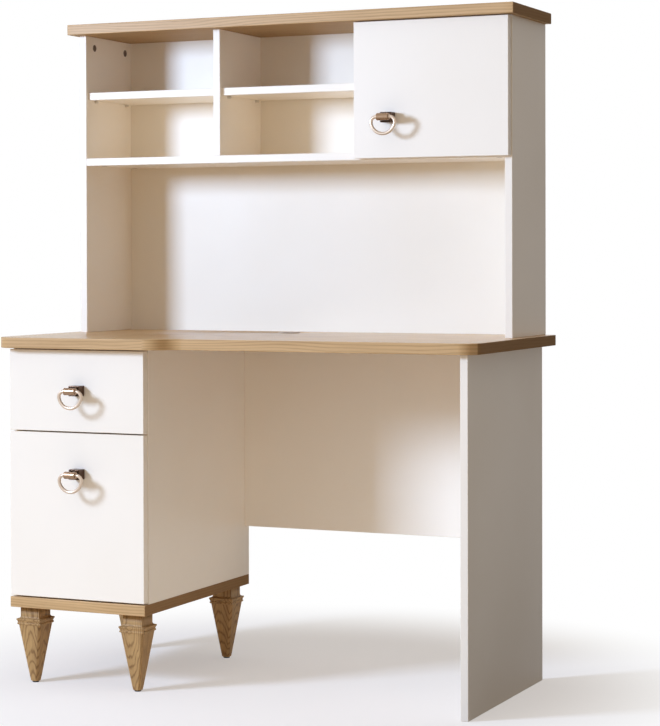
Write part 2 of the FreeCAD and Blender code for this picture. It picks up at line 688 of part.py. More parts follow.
def swing_ring(prefix, x, y, z):
    """The ring: round wire along two shoulder arcs and a wide bottom arc, ending in collars and pins."""
    piece = Piece(f"{prefix}_pull_ring", x, y, z)
    body = piece.body
    half, drop, shoulder = (sheet_value(name) for name in ("ring_half_width", "ring_drop", "ring_shoulder"))
    start = half - shoulder
    bottom = (start * start + drop * drop - 2 * drop * shoulder) / (2 * (drop - 2 * shoulder))
    lean = math.degrees(math.atan((drop - shoulder - bottom) / start))
    path = sketch_on(body, "XZ_Plane", f"{prefix}_ring_path")
    path.addGeometry([
        arc(start, -shoulder, shoulder, lean, 90),
        arc(0, bottom - drop, bottom, 180 - lean, 360 + lean),
        arc(-start, -shoulder, shoulder, 90, 180 - lean),
    ])
    right, low, left, foot = range(4)
    path.addConstraint(Sketcher.Constraint("Tangent", right, 1, low, 2))
    path.addConstraint(Sketcher.Constraint("Tangent", low, 1, left, 2))
    path.addConstraint(Sketcher.Constraint("Equal", right, left))
    path.addConstraint(Sketcher.Constraint("PointOnObject", right, 2, -1))
    path.addConstraint(Sketcher.Constraint("PointOnObject", left, 1, -1))
    path.addConstraint(Sketcher.Constraint("PointOnObject", low, 3, -2))
    path.addConstraint(Sketcher.Constraint("Vertical", right, 2, right, 3))
    path.addConstraint(Sketcher.Constraint("Vertical", left, 1, left, 3))
    measure(path, "shoulder", "ring_shoulder", "Radius", right)
    measure(path, "start", "ring_half_width - ring_shoulder", "DistanceX", -1, 1, right, 2)
    path.addGeometry(Part.Point(point(0, -drop)), True)
    path.addConstraint(Sketcher.Constraint("PointOnObject", foot, 1, low))
    path.addConstraint(Sketcher.Constraint("PointOnObject", foot, 1, -2))
    measure(path, "drop", "ring_drop", "DistanceY", foot, 1, -1, 1)
    wire = sketch_on(body, "YZ_Plane", f"{prefix}_ring_wire")
    bind(wire, "AttachmentOffset.Base.z", "ring_half_width - ring_shoulder")
    wire.addGeometry(Part.Circle(point(0, 0), AXES["z"], sheet_value("ring_wire_radius")))
    wire.addConstraint(Sketcher.Constraint("Coincident", 0, 3, -1, 1))
    measure(wire, "radius", "ring_wire_radius", "Radius", 0)
    doc.recompute()
    pipe = piece.feature("AdditivePipe")
    pipe.Profile = wire
    pipe.Spine = (path, [f"Edge{number}" for number in (1, 2, 3)])
    doc.recompute()
    inner = "barrel_length / 2 + ring_side_play"
    collar = f"ring_half_width - ring_shoulder - ({inner})"
    pin = "ring_pin_bite + ring_side_play"
    piece.rod("x", f"{x} + {inner}", y, z, "ring_collar_radius", collar)
    piece.rod("x", f"{x} - ring_half_width + ring_shoulder", y, z, "ring_collar_radius", collar)
    piece.rod("x", f"{x} + {inner} - ({pin})", y, z, "ring_pin_radius", pin)
    piece.rod("x", f"{x} - ({inner})", y, z, "ring_pin_radius", pin)


def hutch(desktop):
    """The shelf unit on the desktop: sides, dividers, shelves and a grooved-in back under an oak top."""
    west, east = "-side_x", "side_x"
    top = plank("hutch_top", f"{west} - hutch_overhang", f"{east} + hutch_overhang",
                "back_y - hutch_top_depth", "back_y", "ceiling_z", "total_height")
    span = ("hutch_front_y", "back_y", "desk_height", "ceiling_z")
    left = plank("hutch_left_side", west, f"{west} + board", *span)
    right = plank("hutch_right_side", f"{east} - board", east, *span)
    shelf = plank("fixed_shelf", "-inner_x", "inner_x",
                  "hutch_front_y", "hutch_back_y", "shelf_under_z", "shelf_top_z")
    upright = ("hutch_front_y", "hutch_back_y", "shelf_top_z", "ceiling_z")
    first = plank("left_divider", "-divider_x - board", "-divider_x", *upright)
    second = plank("right_divider", "divider_x", "divider_x + board", *upright)
    back = Piece("hutch_back", "-inner_x - bite", "hutch_back_y", "desk_height")
    back.box("-inner_x - bite", "inner_x + bite", "hutch_back_y", "hutch_back_y + back_panel",
             "desk_height", "ceiling_z + bite")
    groove = ("hutch_back_y - groove_play / 2", "hutch_back_y + back_panel + groove_play / 2")
    left.slot("-inner_x - groove_depth", "-inner_x", *groove, "desk_height", "ceiling_z")
    right.slot("inner_x", "inner_x + groove_depth", *groove, "desk_height", "ceiling_z")
    top.slot("-inner_x - groove_depth", "inner_x + groove_depth", *groove,
             "ceiling_z", "ceiling_z + groove_depth")

    fore, aft = "hutch_front_y + cam_setback", "back_y - cam_setback"
    for y in (fore, aft):
        cam_joint(left, top, "x", ("-inner_x", y, "ceiling_z - cam_drop"), -1, "z", 1)
        cam_joint(right, top, "x", ("inner_x", y, "ceiling_z - cam_drop"), 1, "z", 1)
        cam_joint(shelf, left, "z", ("-inner_x + cam_drop", y, "shelf_under_z"), 1, "x", -1)
        cam_joint(shelf, right, "z", ("inner_x - cam_drop", y, "shelf_under_z"), 1, "x", 1)
        for side, x in ((left, "-inner_x - board / 2"), (right, "inner_x + board / 2")):
            dowel_joint(side, desktop, "z", x, y, "desk_height")
        for divider, x in ((first, "-divider_x - board / 2"), (second, "divider_x + board / 2")):
            dowel_joint(divider, shelf, "z", x, y, "shelf_top_z")
            dowel_joint(divider, top, "z", x, y, "ceiling_z")
    bays = (("left", "-inner_x", "-divider_x - board", left, first),
            ("middle", "-divider_x", "divider_x", first, second))
    group("shelf_pins", [pin for bay in bays for pin in adjustable_shelf(*bay)])
    return right


def adjustable_shelf(name, west, east, west_panel, east_panel):
    """A loose shelf on four pins that stand in bores of the panels beside it."""
    plank(f"{name}_shelf", f"{west} + shelf_play", f"{east} - shelf_play", "hutch_front_y + shelf_setback",
          "hutch_back_y - shelf_back_play", "cubby_z", "cubby_z + board")
    z = "cubby_z - pin_radius"
    pins = []
    for panel, start in ((west_panel, f"{west} - pin_bite"), (east_panel, f"{east} - pin_reach")):
        bored = start if panel is west_panel else east
        for y in ("front_pin_y", "back_pin_y"):
            panel.bore("x", bored, y, z, "pin_radius + pin_play", "pin_bite")
            pin = Piece(f"{name}_pin_{len(pins)}", start, y, z, node=False)
            pins.append(pin.rod("x", start, y, z, "pin_radius", "pin_bite + pin_reach"))
    return pins


def cabinet_door():
    """The hutch door on two cup hinges, with a ring pull at its lower free corner and soft bumpers behind."""
    door = plank("cabinet_door", "door_left_x", "door_right_x",
                 "door_face_y", "door_back_y", "door_low_z", "door_high_z")
    cups, pins, arms, plates = [], [], [], []
    for number, z in enumerate(("door_low_z + hinge_edge_distance", "door_high_z - hinge_edge_distance")):
        floor = "door_back_y - cup_depth"
        door.bore("y", "cup_x", floor, z, "cup_radius + cup_play", "cup_depth")
        cup = Piece(f"hinge_cup_{number}", "cup_x", "door_back_y", z, node=False)
        cup.rod("y", "cup_x", floor, z, "cup_radius", "cup_depth")
        cup.bore("y", "cup_x", f"{floor} + cup_wall", z, "cup_radius - cup_wall", "cup_depth - cup_wall")
        ear = "(knuckle_width / 2 + ear_gap)"
        pin_low = f"{z} - {ear} - ear_width"
        pin_length = f"2 * ({ear} + ear_width)"
        for low in (pin_low, f"{z} + {ear}"):
            cup.box("pivot_x - ear_half_width", "pivot_x + ear_half_width", f"{floor} + cup_wall",
                    "pivot_y + ear_half_width", low, f"{low} + ear_width")
        cup.bore("z", "pivot_x", "pivot_y", pin_low, "hinge_pin_radius", pin_length)
        pin = Piece(f"hinge_pin_{number}", "pivot_x", "pivot_y", z, node=False)
        pin.rod("z", "pivot_x", "pivot_y", pin_low, "hinge_pin_radius", pin_length)
        arms.append(hinge_arm(number, z))
        plate = Piece(f"hinge_plate_{number}", "plate_x", "hutch_front_y", z, node=False)
        start = "hutch_front_y + plate_front"
        plate.box("plate_x", "inner_x", start, f"{start} + plate_length",
                  f"{z} - plate_width / 2", f"{z} + plate_width / 2")
        plates.append(plate)
        cups.append(cup)
        pins.append(pin)
    group("hinge_cups", cups)
    group("hinge_pins", pins)
    group("hinge_arms", arms)
    group("hinge_plates", plates)
    bumpers = []
    for number, z in enumerate(("door_low_z + bumper_edge_distance", "door_high_z - bumper_edge_distance")):
        bumper = Piece(f"door_bumper_{number}", "door_left_x", "door_back_y", z, node=False)
        bumpers.append(bumper.rod("y", "door_left_x + door_overlay / 2", "door_back_y", z,
                                  "bumper_radius", "bumper_height"))
    group("door_bumpers", bumpers)
    ring_pull("door", door, "door_left_x + door_pull_inset", "door_face_y", "door_low_z + door_pull_rise")


def hinge_arm(number, z):
    """A hinge arm: flat steel from its plate into the cup, hooked to a knuckle round the hinge pin."""
    low, high = f"{z} - knuckle_width / 2", f"{z} + knuckle_width / 2"
    arm = Piece(f"hinge_arm_{number}", "pivot_x", "pivot_y", z, node=False)
    arm.box("plate_x - arm_sheet", "plate_x", "pivot_y - arm_lead", "pivot_y + arm_length", low, high)
    arm.box("plate_x", "pivot_x", "pivot_y - arm_lead", "pivot_y - arm_lead + arm_sheet", low, high)
    arm.rod("z", "pivot_x", "pivot_y", low, "knuckle_radius", "knuckle_width")
    arm.bore("z", "pivot_x", "pivot_y", low, "hinge_pin_radius + hinge_pin_play", "knuckle_width")
    return arm


desktop = desktop_board()
cable_grommet()
pedestal_side = pedestal(desktop)
leg_panel_and_modesty(desktop, pedestal_side)
drawer("upper", "upper_front_z", "upper_front_high_z", "upper_box_headroom")
drawer("lower", "lower_front_z", "lower_front_high_z", "lower_box_headroom")
hutch(desktop)
cabinet_door()
group("cam_locks", cam_locks)
group("cam_bolts", cam_bolts)
group("dowels", dowels)
doc.recompute()

failed = [thing.Label for thing in doc.Objects if {"Invalid", "Error"} & set(thing.State)]
if failed:
    raise RuntimeError(f"these objects did not build: {failed}")
for label, thing in nodes.items():
    if thing.Shape.isNull() or not thing.Shape.isValid() or not thing.Shape.Solids:
        raise RuntimeError(f"the shape of {label} is empty or not valid")

os.makedirs("parts", exist_ok=True)
for label, thing in nodes.items():
    thing.Shape.exportStep(f"parts/{label}.step")
print(f"{len(nodes)} nodes, {sum(len(thing.Shape.Solids) for thing in nodes.values())} solids")
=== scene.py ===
"""A writing desk with a shelf hutch: finishes and close-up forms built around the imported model, in metres."""

import json
import math

import bmesh
import bpy
import numpy as np
from bpy.props import FloatProperty, FloatVectorProperty, IntProperty, PointerProperty
from mathutils import Matrix, Vector


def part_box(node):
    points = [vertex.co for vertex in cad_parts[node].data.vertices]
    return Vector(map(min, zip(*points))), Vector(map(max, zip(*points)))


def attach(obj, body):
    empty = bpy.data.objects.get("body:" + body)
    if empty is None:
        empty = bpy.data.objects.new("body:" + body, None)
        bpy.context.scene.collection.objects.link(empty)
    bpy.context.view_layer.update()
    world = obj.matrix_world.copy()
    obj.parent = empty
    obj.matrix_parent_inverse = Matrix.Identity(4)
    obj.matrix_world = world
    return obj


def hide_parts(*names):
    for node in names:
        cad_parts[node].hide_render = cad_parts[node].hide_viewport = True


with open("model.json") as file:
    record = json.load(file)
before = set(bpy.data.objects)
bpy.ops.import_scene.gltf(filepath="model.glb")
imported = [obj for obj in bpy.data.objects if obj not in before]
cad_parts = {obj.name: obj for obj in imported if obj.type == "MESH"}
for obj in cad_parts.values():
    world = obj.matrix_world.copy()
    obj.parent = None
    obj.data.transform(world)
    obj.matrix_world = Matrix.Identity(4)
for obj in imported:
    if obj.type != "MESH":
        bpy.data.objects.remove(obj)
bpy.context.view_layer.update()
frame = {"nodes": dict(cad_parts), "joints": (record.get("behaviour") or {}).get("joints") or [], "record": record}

bl_info = {
    "name": "Writing desk with hutch",
    "version": (1, 0, 0),
    "blender": (4, 5, 0),
    "location": "3D View > Sidebar > Desk",
    "description": "Dresses the desk's solids with laminate, oak and plated metal, and sets up a studio",
    "category": "Object",
}

SLOT_OF = {row["node"]: row["material_slot"] for row in frame["record"]["subparts"]}
BODY_OF = {node: body for body, nodes in frame["record"]["behaviour"]["bodies"].items() for node in nodes}
PULLS = ("upper", "lower", "door")

# Pixels of the photograph
PHOTO_WIDTH = 660
PHOTO_HEIGHT = 726

# Nodes that hold several like solids, and how many
LIKE_SOLIDS = {"cam_locks": 18, "leg_glides": 4, "shelf_pins": 8}

# Values of the edge attribute on the oak boards
# The underside value sets how far the oak finish paints shade onto a board's underside
FACE, LONG_EDGE, UNDERSIDE, END = 0.0, 0.5, 0.72, 1.0

# Oak figure: roughness of the face, metres from one year ring to the next, metres by which slow noise bends
# the rings, waves of that noise in a metre, sharpness and depth of the ring lines, and weight of the lacquer
OAK_BOARD = {"gloss": 0.38, "period": 0.0062, "bend": 0.05, "waves": 1.6, "sharp": 2.5, "depth": 0.5,
             "coat": 0.5}
OAK_LEG = {"gloss": 0.46, "period": 0.0037, "bend": 0.01, "waves": 11.0, "sharp": 4.0, "depth": 0.62,
           "coat": 0.0}
MELAMINE_IOR = 1.47
LACQUER_IOR = 1.38

# Wood of a board, in metres: how far the log's heart lies below the lower face, and the depth that the whole
# edge band is given
HEART_BELOW = 0.09
BAND_DEPTH = 0.03

# An edge is a board's end where its normal leans this far along the grain
END_LEAN = 0.9

# Faces along curves, and the longest run between two points of a board's outline, in metres
BEND_STEPS = 16
CORNER_STEPS = 4
COVE_STEPS = 6
SHOULDER_STEPS = 24
WIRE_STEPS = 28
SHAFT_STEPS = 14
OUTLINE_STEP = 0.02

# A point of a solid this near to a line lies on it, and new points this near are merged, in metres
ON_LINE = 1e-5
MERGED = 1e-7

# Decimals of a metre that tell two points of a solid apart
POINT_DIGITS = 6


# Properties: the sizes and colours that a user would change

def colour(name, description, default):
    """A linear colour."""
    return FloatVectorProperty(name=name, description=description, default=default, subtype="COLOR",
                               size=3, min=0, max=1)


def length(name, description, default):
    """A length in metres."""
    return FloatProperty(name=name, description=description, default=default, unit="LENGTH")


def angle(name, description, degrees):
    """An angle, given in degrees and kept in radians."""
    return FloatProperty(name=name, description=description, default=math.radians(degrees), subtype="ANGLE")


def number(name, description, default):
    """A plain number, such as a strength or a share."""
    return FloatProperty(name=name, description=description, default=default)


def count(name, description, default, least=1):
    """A whole number."""
    return IntProperty(name=name, description=description, default=default, min=least)


def spot(name, description, default):
    """A place in the room, in metres."""
    return FloatVectorProperty(name=name, description=description, default=default, size=3,
                               subtype="TRANSLATION", unit="LENGTH")


class DeskFinish(bpy.types.PropertyGroup):
    """Colours of the desk's finishes, as linear values."""
    white: colour("White laminate", "Carcass boards, fronts and door", (0.955, 0.885, 0.775))
    back_white: colour("Back panel white", "Thin back panels", (0.87, 0.81, 0.7))
    drawer_white: colour("Drawer white", "Boards of the drawer boxes", (0.8, 0.735, 0.635))
    oak_light: colour("Oak light", "Wide early wood between the grain lines", (0.635, 0.415, 0.205))
    oak_dark: colour("Oak dark", "Late wood, the grain lines", (0.42, 0.255, 0.108))
    # The pore tint also darkens board ends, and gives the painted shade on board undersides
    oak_pore_and_shade: colour("Oak pores", "Short dark pores along the grain", (0.221, 0.118, 0.048))
    leg_light: colour("Leg light", "Early wood of the legs", (0.495, 0.308, 0.128))
    leg_dark: colour("Leg dark", "Late wood of the legs", (0.21, 0.11, 0.04))
    rose_gold: colour("Rose gold", "Plating of the rings", (0.66, 0.53, 0.41))
    barrel: colour("Barrel", "Plating of the cross barrel", (0.36, 0.235, 0.15))
    bronze: colour("Bronze", "Darker plating of the block behind each ring", (0.11, 0.062, 0.04))
    steel: colour("Zinc plate", "Runners, hinges, bolts and pins", (0.76, 0.725, 0.66))
    zinc: colour("Dark casting", "Cam locks", (0.15, 0.11, 0.085))
    black: colour("Black plastic", "Glides under the legs", (0.02, 0.02, 0.022))
    taupe: colour("Taupe plastic", "Cable grommet", (0.34, 0.27, 0.202))
    rubber: colour("Clear rubber", "Pads behind the door", (0.639, 0.608, 0.516))
    beech: colour("Beech", "Dowels", (0.651, 0.412, 0.2))


class DeskSizes(bpy.types.PropertyGroup):
    """Small forms that the close views need."""
    oak_round: length("Oak edge rounding", "Radius of the edge band on the oak boards", 0.0013)
    oak_corner: length("Oak corner rounding", "Radius of the square corners seen from above", 0.0015)
    rim_round: length("Rim rounding", "Radius of turned rims", 0.0007)
    arc_steps: count("Arc steps", "Faces on a quarter of a small round", 5, least=2)
    turn_steps: count("Turn steps", "Faces round a turned piece", 64, least=12)


class DeskLeg(bpy.types.PropertyGroup):
    """Profile of the tapered legs. Heights count from the floor."""
    edge: length("Edge rounding", "Radius where two flats meet", 0.0006)
    tip: length("Tip", "Width at the foot", 0.018)
    top: length("Shaft top", "Width where the taper ends", 0.053)
    chamfer: length("Chamfer", "Cut along the four edges of the shaft", 0.004)
    crisp: length("Collar chamfer", "Cut along the four edges of the collar and neck", 0.0008)
    collar: length("Collar", "Width where the collar meets the lip", 0.056)
    bead: length("Bead", "How far the bead stands out from the shaft", 0.0013)
    cove: length("Cove", "Width where the cove meets the lip", 0.054)
    neck: length("Neck", "Width of the neck under the base board", 0.045)
    shaft_height: length("Shaft height", "Where the taper ends", 0.122)
    bead_height: length("Bead height", "Where the bead ends", 0.1265)
    lip_low: length("Lip underside", "Where the collar meets the lip", 0.131)
    lip_high: length("Lip top", "Where the cove starts", 0.135)
    cove_high: length("Cove top", "Where the cove meets the neck", 0.140)


class DeskPull(bpy.types.PropertyGroup):
    """Sizes of the ring pulls. The ring's line of swing comes from the joints."""
    edge: length("Edge rounding", "Radius of the block's edges", 0.0011)
    block_width: length("Block width", "Width of the block on the front", 0.025)
    block_height: length("Block height", "Height of the block on the front", 0.021)
    block_depth: length("Block depth", "How far the block stands out", 0.022)
    post_width: length("Post width", "Width of the post that carries the barrel", 0.018)
    post_height: length("Post height", "Height of the post that carries the barrel", 0.012)
    barrel_radius: length("Barrel radius", "Radius of the cross barrel", 0.0075)
    barrel_length: length("Barrel length", "Length of the cross barrel", 0.026)
    side_play: length("Side play", "Gap between the barrel and each collar", 0.0003)
    collar_radius: length("Collar radius", "Radius of the collars at the ring's ends", 0.0048)
    wire_radius: length("Wire radius", "Radius of the ring's wire", 0.0034)
    half_width: length("Ring half width", "From the middle to the wire's centre line", 0.026)
    shoulder: length("Ring shoulder", "Radius of the ring's upper bends", 0.0112)
    drop: length("Ring drop", "From the line of swing down to the wire's centre line", 0.0343)


class DeskStage(bpy.types.PropertyGroup):
    """Camera, lamps and backdrop."""
    camera_place: spot("Camera", "Where the camera stands", (1.9368, -4.0257, 0.8901))
    camera_yaw: angle("Yaw", "How far the camera looks to the left of the desk's depth", 24.208)
    camera_pitch: angle("Pitch", "How far the camera looks down", 0.831)
    camera_roll: angle("Roll", "Lean of the camera about its own axis", -0.148)
    focal_pixels: number("Focal length", "In pixels of the photograph", 2156.0)
    middle_row: number("Middle row", "Pixel row of the camera's own axis", 285.2)
    key_place: spot("Key place", "Where the key lamp's soft box stands", (-1.53, -1.8, 1.45))
    key_aim: spot("Key aim", "Where the key lamp points", (0.0, 0.0, 0.75))
    key_size: length("Key size", "Side of the soft box", 0.48)
    key_strength: number("Key strength", "Light of the key lamp", 10.2)
    key_colour: colour("Key colour", "Tint of the key lamp", (0.565, 0.722, 1.0))
    light_bounces: count("Light bounces", "How often light goes from board to board", 16)
    sky_colour: colour("Sky colour", "Tint of the studio's soft light", (0.97, 0.865, 0.785))
    sky_strength: number("Sky strength", "Light of the studio as a whole", 0.91)
    sky_even: number("Even light", "Share of the sky that is alike all round", 0.03)
    sky_upper: number("Upper light", "Share that grows slowly towards straight above", 0.12)
    sky_top: number("Top light", "Share that comes from close to straight above", 1.1)
    sky_front: number("Front light", "Share that comes from the front and half way up", 0.68)
    sky_rear: number("Rear light", "Share that comes from behind the desk", 0.05)
    floor_glow: number("Floor glow", "Plain white in the seen floor near the desk", 0.38)
    floor_pale: colour("Floor paleness", "Share of light the seen floor shows", (0.57, 0.535, 0.505))
    fade_start: length("Fade start", "From the desk's middle to where the floor starts to whiten", 0.5)
    fade_end: length("Fade end", "From the desk's middle to where the floor is all white", 1.05)
    floor_bounce: colour("Floor bounce", "Colour the floor throws back onto the desk", (0.92, 0.79, 0.61))
    floor_beside: colour("Floor beside", "Colour thrown back onto the right side", (0.15, 0.115, 0.08))
    floor_size: length("Floor size", "Side of the floor", 60.0)


GROUPS = {"desk_finish": DeskFinish, "desk_sizes": DeskSizes, "desk_leg": DeskLeg, "desk_pull": DeskPull,
          "desk_stage": DeskStage}


def finish():
    """The colours in use."""
    return bpy.context.scene.desk_finish


def sizes():
    """The small sizes in use."""
    return bpy.context.scene.desk_sizes


def placed(name, data):
    """A new object in the scene, at the origin."""
    thing = bpy.data.objects.new(name, data)
    bpy.context.scene.collection.objects.link(thing)
    return thing


# Shader maths: a socket with arithmetic, and one method that makes every node

class Value:
    """A socket of a shader tree. Arithmetic on it adds Math nodes."""

    def __init__(self, shader, node, output=0):
        self.shader, self.node, self.socket = shader, node, node.outputs[output]

    def output(self, name):
        return Value(self.shader, self.node, name)

    def maths(self, operation, first, second=0.0):
        return self.shader.add("Math", {"operation": operation}, {0: first, 1: second})

    def __add__(self, other):
        return self.maths("ADD", self, other)

    def __sub__(self, other):
        return self.maths("SUBTRACT", self, other)

    def __rsub__(self, other):
        return self.maths("SUBTRACT", other, self)

    def __mul__(self, other):
        return self.maths("MULTIPLY", self, other)

    def __pow__(self, other):
        return self.maths("POWER", self, other)

    __radd__ = __add__
    __rmul__ = __mul__

    def root(self):
        return self.maths("SQRT", self)

    def sine(self):
        return self.maths("SINE", self)

    def above_zero(self):
        return self.maths("MAXIMUM", self, 0.0)

    def over(self, low, high):
        """0 below low, 1 above high and a smooth step between them."""
        return self.shader.add("MapRange", {"interpolation_type": "SMOOTHSTEP"},
                               {"Value": self, "From Min": low, "From Max": high})


class Shader:
    """The node tree of one material or of the world."""

    def __init__(self, owner):
        owner.use_nodes = True
        self.tree = owner.node_tree
        self.tree.nodes.clear()

    def add(self, kind, settings=None, links=None, output=0):
        """Make a node, set its settings first and then its sockets, and give back one of its outputs."""
        node = self.tree.nodes.new(f"ShaderNode{kind}")
        for name, value in (settings or {}).items():
            setattr(node, name, value)
        for name, value in (links or {}).items():
            socket = node.inputs[name]
            if isinstance(value, Value):
                self.tree.links.new(value.socket, socket)
            else:
                socket.default_value = self.padded(socket, value)
        return Value(self, node, output) if node.outputs else node

    @staticmethod
    def padded(socket, value):
        """A colour with its alpha where the socket wants four numbers."""
        is_colour = socket.type == "RGBA" and hasattr(value, "__len__") and len(value) == 3
        return (*value, 1.0) if is_colour else value

    def blend(self, share, first, second):
        """A colour that goes from first to second as share goes from 0 to 1."""
        return self.add("Mix", {"data_type": "RGBA"}, {0: share, 6: first, 7: second}, output=2)

    def noise(self, place, scale, detail=3.0, roughness=0.5):
        return self.add("TexNoise", {"noise_dimensions": "3D"},
                        {"Vector": place, "Scale": scale, "Detail": detail, "Roughness": roughness})

    def stretched(self, place, along, across, depth):
        """The place with its three axes scaled, so that a noise on it runs along the first one."""
        return self.add("VectorMath", {"operation": "MULTIPLY"}, {0: place, 1: (along, across, depth)})

    def object_place(self):
        return self.add("TexCoord", output="Object")

    def bump(self, height, strength, distance):
        return self.add("Bump", {}, {"Height": height, "Strength": strength, "Distance": distance})

    def surface(self, **sockets):
        """End the tree in one principled surface. Sockets are given by name, with _ for a space."""
        links = {name.replace("_", " "): value for name, value in sockets.items()}
        principled = self.add("BsdfPrincipled", {}, links)
        self.add("OutputMaterial", {}, {"Surface": principled})


MATERIALS = {}


def material(name, make, *arguments):
    """A material made once and then shared."""
    if name not in MATERIALS:
        MATERIALS[name] = bpy.data.materials.new(name)
        make(Shader(MATERIALS[name]), *arguments)
    return MATERIALS[name]


def toned(tint, shares):
    """A tint with each of its three channels scaled."""
    return [channel * share for channel, share in zip(tint, shares)]


def laminate(shader, tint, grain):
    """Melamine board: an even white with faint warm mottling, a satin sheen and a fine pressed grain."""
    place = shader.object_place()
    clouds = shader.noise(place, 3.5, detail=4.0)
    speckle = shader.noise(place, 900.0, detail=2.0)
    warm = toned(tint, (0.965, 0.955, 0.935))
    colour_here = shader.blend(clouds.over(0.35, 0.75) * 0.6 + speckle * 0.12, tint, warm)
    pressed = shader.noise(place, grain, detail=3.0, roughness=0.6)
    shader.surface(Base_Color=colour_here, Roughness=0.36 + clouds * 0.1, IOR=MELAMINE_IOR,
                   Normal=shader.bump(pressed, 0.12, 0.0004))


def wood_tone(shader, place, figure):
    """Oak figure at a place given as (along the grain, across it, depth), measured from the log's heart.

    The year rings are a sine of the distance from the heart, bent by slow noise. Streaks and pores are noises
    stretched along the grain. Gives ring lines, streaks, broad bands and pores, each from 0 to 1.
    """
    waves = figure["waves"]
    wander = shader.noise(shader.stretched(place, waves, waves * 4, waves * 4), 1.0, detail=3.0)
    split = shader.add("SeparateXYZ", {}, {"Vector": place})
    across, depth = split.output("Y"), split.output("Z")
    reach = (across * across + depth * depth).root() + (wander - 0.5) * figure["bend"]
    rings = (reach * (2 * math.pi / figure["period"])).sine() * 0.5 + 0.5
    streaks = shader.noise(shader.stretched(place, 7.0, 330.0, 330.0), 1.0, detail=4.0, roughness=0.62)
    broad = shader.noise(shader.stretched(place, 2.2, 42.0, 42.0), 1.0, detail=3.0)
    pores = shader.noise(shader.stretched(place, 46.0, 1500.0, 1500.0), 1.0, detail=2.0, roughness=0.55)
    pore_mask = pores.over(0.62, 0.72) * rings.over(0.35, 0.8)
    return rings, streaks, broad, pore_mask


def oak(shader, light, dark, pore_and_shade_tint, figure):
    """Light oak: pale early wood, darker ring lines, fine streaks and pores.

    Flat faces may have a coat. Board ends are darker and rougher; the underside partly so, its darkening painted
    shade.
    """
    place = shader.add("Attribute", {"attribute_name": "grain"}, output="Vector")
    rings, streaks, broad, pore_mask = wood_tone(shader, place, figure)
    share = (rings ** figure["sharp"]) * figure["depth"] + (streaks - 0.5) * 1.1 + (broad - 0.5) * 0.9 + 0.12
    tone = shader.blend(share.over(-0.25, 1.05), light, dark)
    tone = shader.blend(pore_mask * 0.5, tone, pore_and_shade_tint)
    edge = shader.add("Attribute", {"attribute_name": "edge"}, output="Fac")
    # Ends darken towards the pore tint; the underside darkens part way, which is painted shade
    end = edge.over(LONG_EDGE, END)
    tone = shader.blend(end * 0.78, tone, pore_and_shade_tint)
    height = 1 - pore_mask * 0.7 - streaks * 0.3
    shader.surface(Base_Color=tone, IOR=LACQUER_IOR,
                   Roughness=figure["gloss"] + streaks * 0.1 + pore_mask * 0.12 + end * 0.4,
                   Coat_Weight=(1 - edge.over(FACE, LONG_EDGE)) * figure["coat"], Coat_Roughness=0.2,
                   Normal=shader.bump(height, 0.18, 0.0003))


def plating(shader, tint, rough, blur, metal=1.0):
    """Plated metal: one tint with faint cloudiness, fine polishing lines and a roughness that wanders."""
    place = shader.object_place()
    clouds = shader.noise(place, 60.0, detail=3.0)
    lines = shader.noise(shader.stretched(place, 300.0, 5200.0, 5200.0), 1.0, detail=2.0)
    deep = toned(tint, (0.9, 0.82, 0.78))
    shader.surface(Base_Color=shader.blend(clouds.over(0.3, 0.8) * 0.5, tint, deep), Metallic=metal,
                   Roughness=rough + clouds * blur, Normal=shader.bump(lines, 0.05, 0.00008))


def casting(shader, tint, rough):
    """A dark cast or moulded surface with a fine grain."""
    place = shader.object_place()
    grain = shader.noise(place, 1400.0, detail=3.0)
    clouds = shader.noise(place, 90.0, detail=3.0)
    pale = [min(1.0, channel * 1.35 + 0.004) for channel in tint]
    shader.surface(Base_Color=shader.blend(clouds.over(0.3, 0.75), tint, pale),
                   Roughness=rough + grain * 0.15, Normal=shader.bump(grain, 0.22, 0.00015))


def plain_wood(shader, tint):
    """Beech of the dowels: an even tone with short flecks."""
    place = shader.object_place()
    flecks = shader.noise(shader.stretched(place, 700.0, 700.0, 60.0), 1.0, detail=3.0)
    dark = toned(tint, (0.72, 0.72, 0.72))
    shader.surface(Base_Color=shader.blend(flecks.over(0.4, 0.7), tint, dark), Roughness=0.55 + flecks * 0.1)


def finish_of(slot):
    """The material of a record slot: its maker, with the arguments of that maker in their order."""
    colours = finish()
    makers = {
        "white_laminate": (laminate, colours.white, 420.0),
        "white_back_board": (laminate, colours.back_white, 250.0),
        "drawer_board": (laminate, colours.drawer_white, 300.0),
        "oak_laminate": (oak, colours.oak_light, colours.oak_dark, colours.oak_pore_and_shade, OAK_BOARD),
        "oak_leg": (oak, colours.leg_light, colours.leg_dark, colours.oak_pore_and_shade, OAK_LEG),
        "beech": (plain_wood, colours.beech),
        "rose_gold": (plating, colours.rose_gold, 0.26, 0.12, 0.72),
        "barrel": (plating, colours.barrel, 0.2, 0.12),
        "bronze": (plating, colours.bronze, 0.24, 0.16),
        "dark_zinc": (casting, colours.zinc, 0.42),
        "steel": (plating, colours.steel, 0.26, 0.2),
        "black_plastic": (casting, colours.black, 0.5),
        "taupe_plastic": (casting, colours.taupe, 0.42),
        "clear_rubber": (casting, colours.rubber, 0.4),
    }
    return material(slot, *makers[slot])


def dress(nodes):
    """Give CAD nodes that stay shown the finish of their slot."""
    for node in nodes:
        mesh = frame["nodes"][node].data
        mesh.materials.clear()
        mesh.materials.append(finish_of(SLOT_OF[node]))


# Grids: surfaces of two parameters, computed as whole arrays

def grid_faces(rows, columns, wrap_rows=False):
    """Corner indices of the quads between the points of a grid. Its columns always close on themselves."""
    row = np.arange(rows if wrap_rows else rows - 1)[:, None]
    column = np.arange(columns)[None, :]
    next_row, next_column = (row + 1) % rows, (column + 1) % columns
    corners = [row * columns + column, row * columns + next_column,
               next_row * columns + next_column, next_row * columns + column]
    return np.stack(corners, -1).reshape(-1, 4)


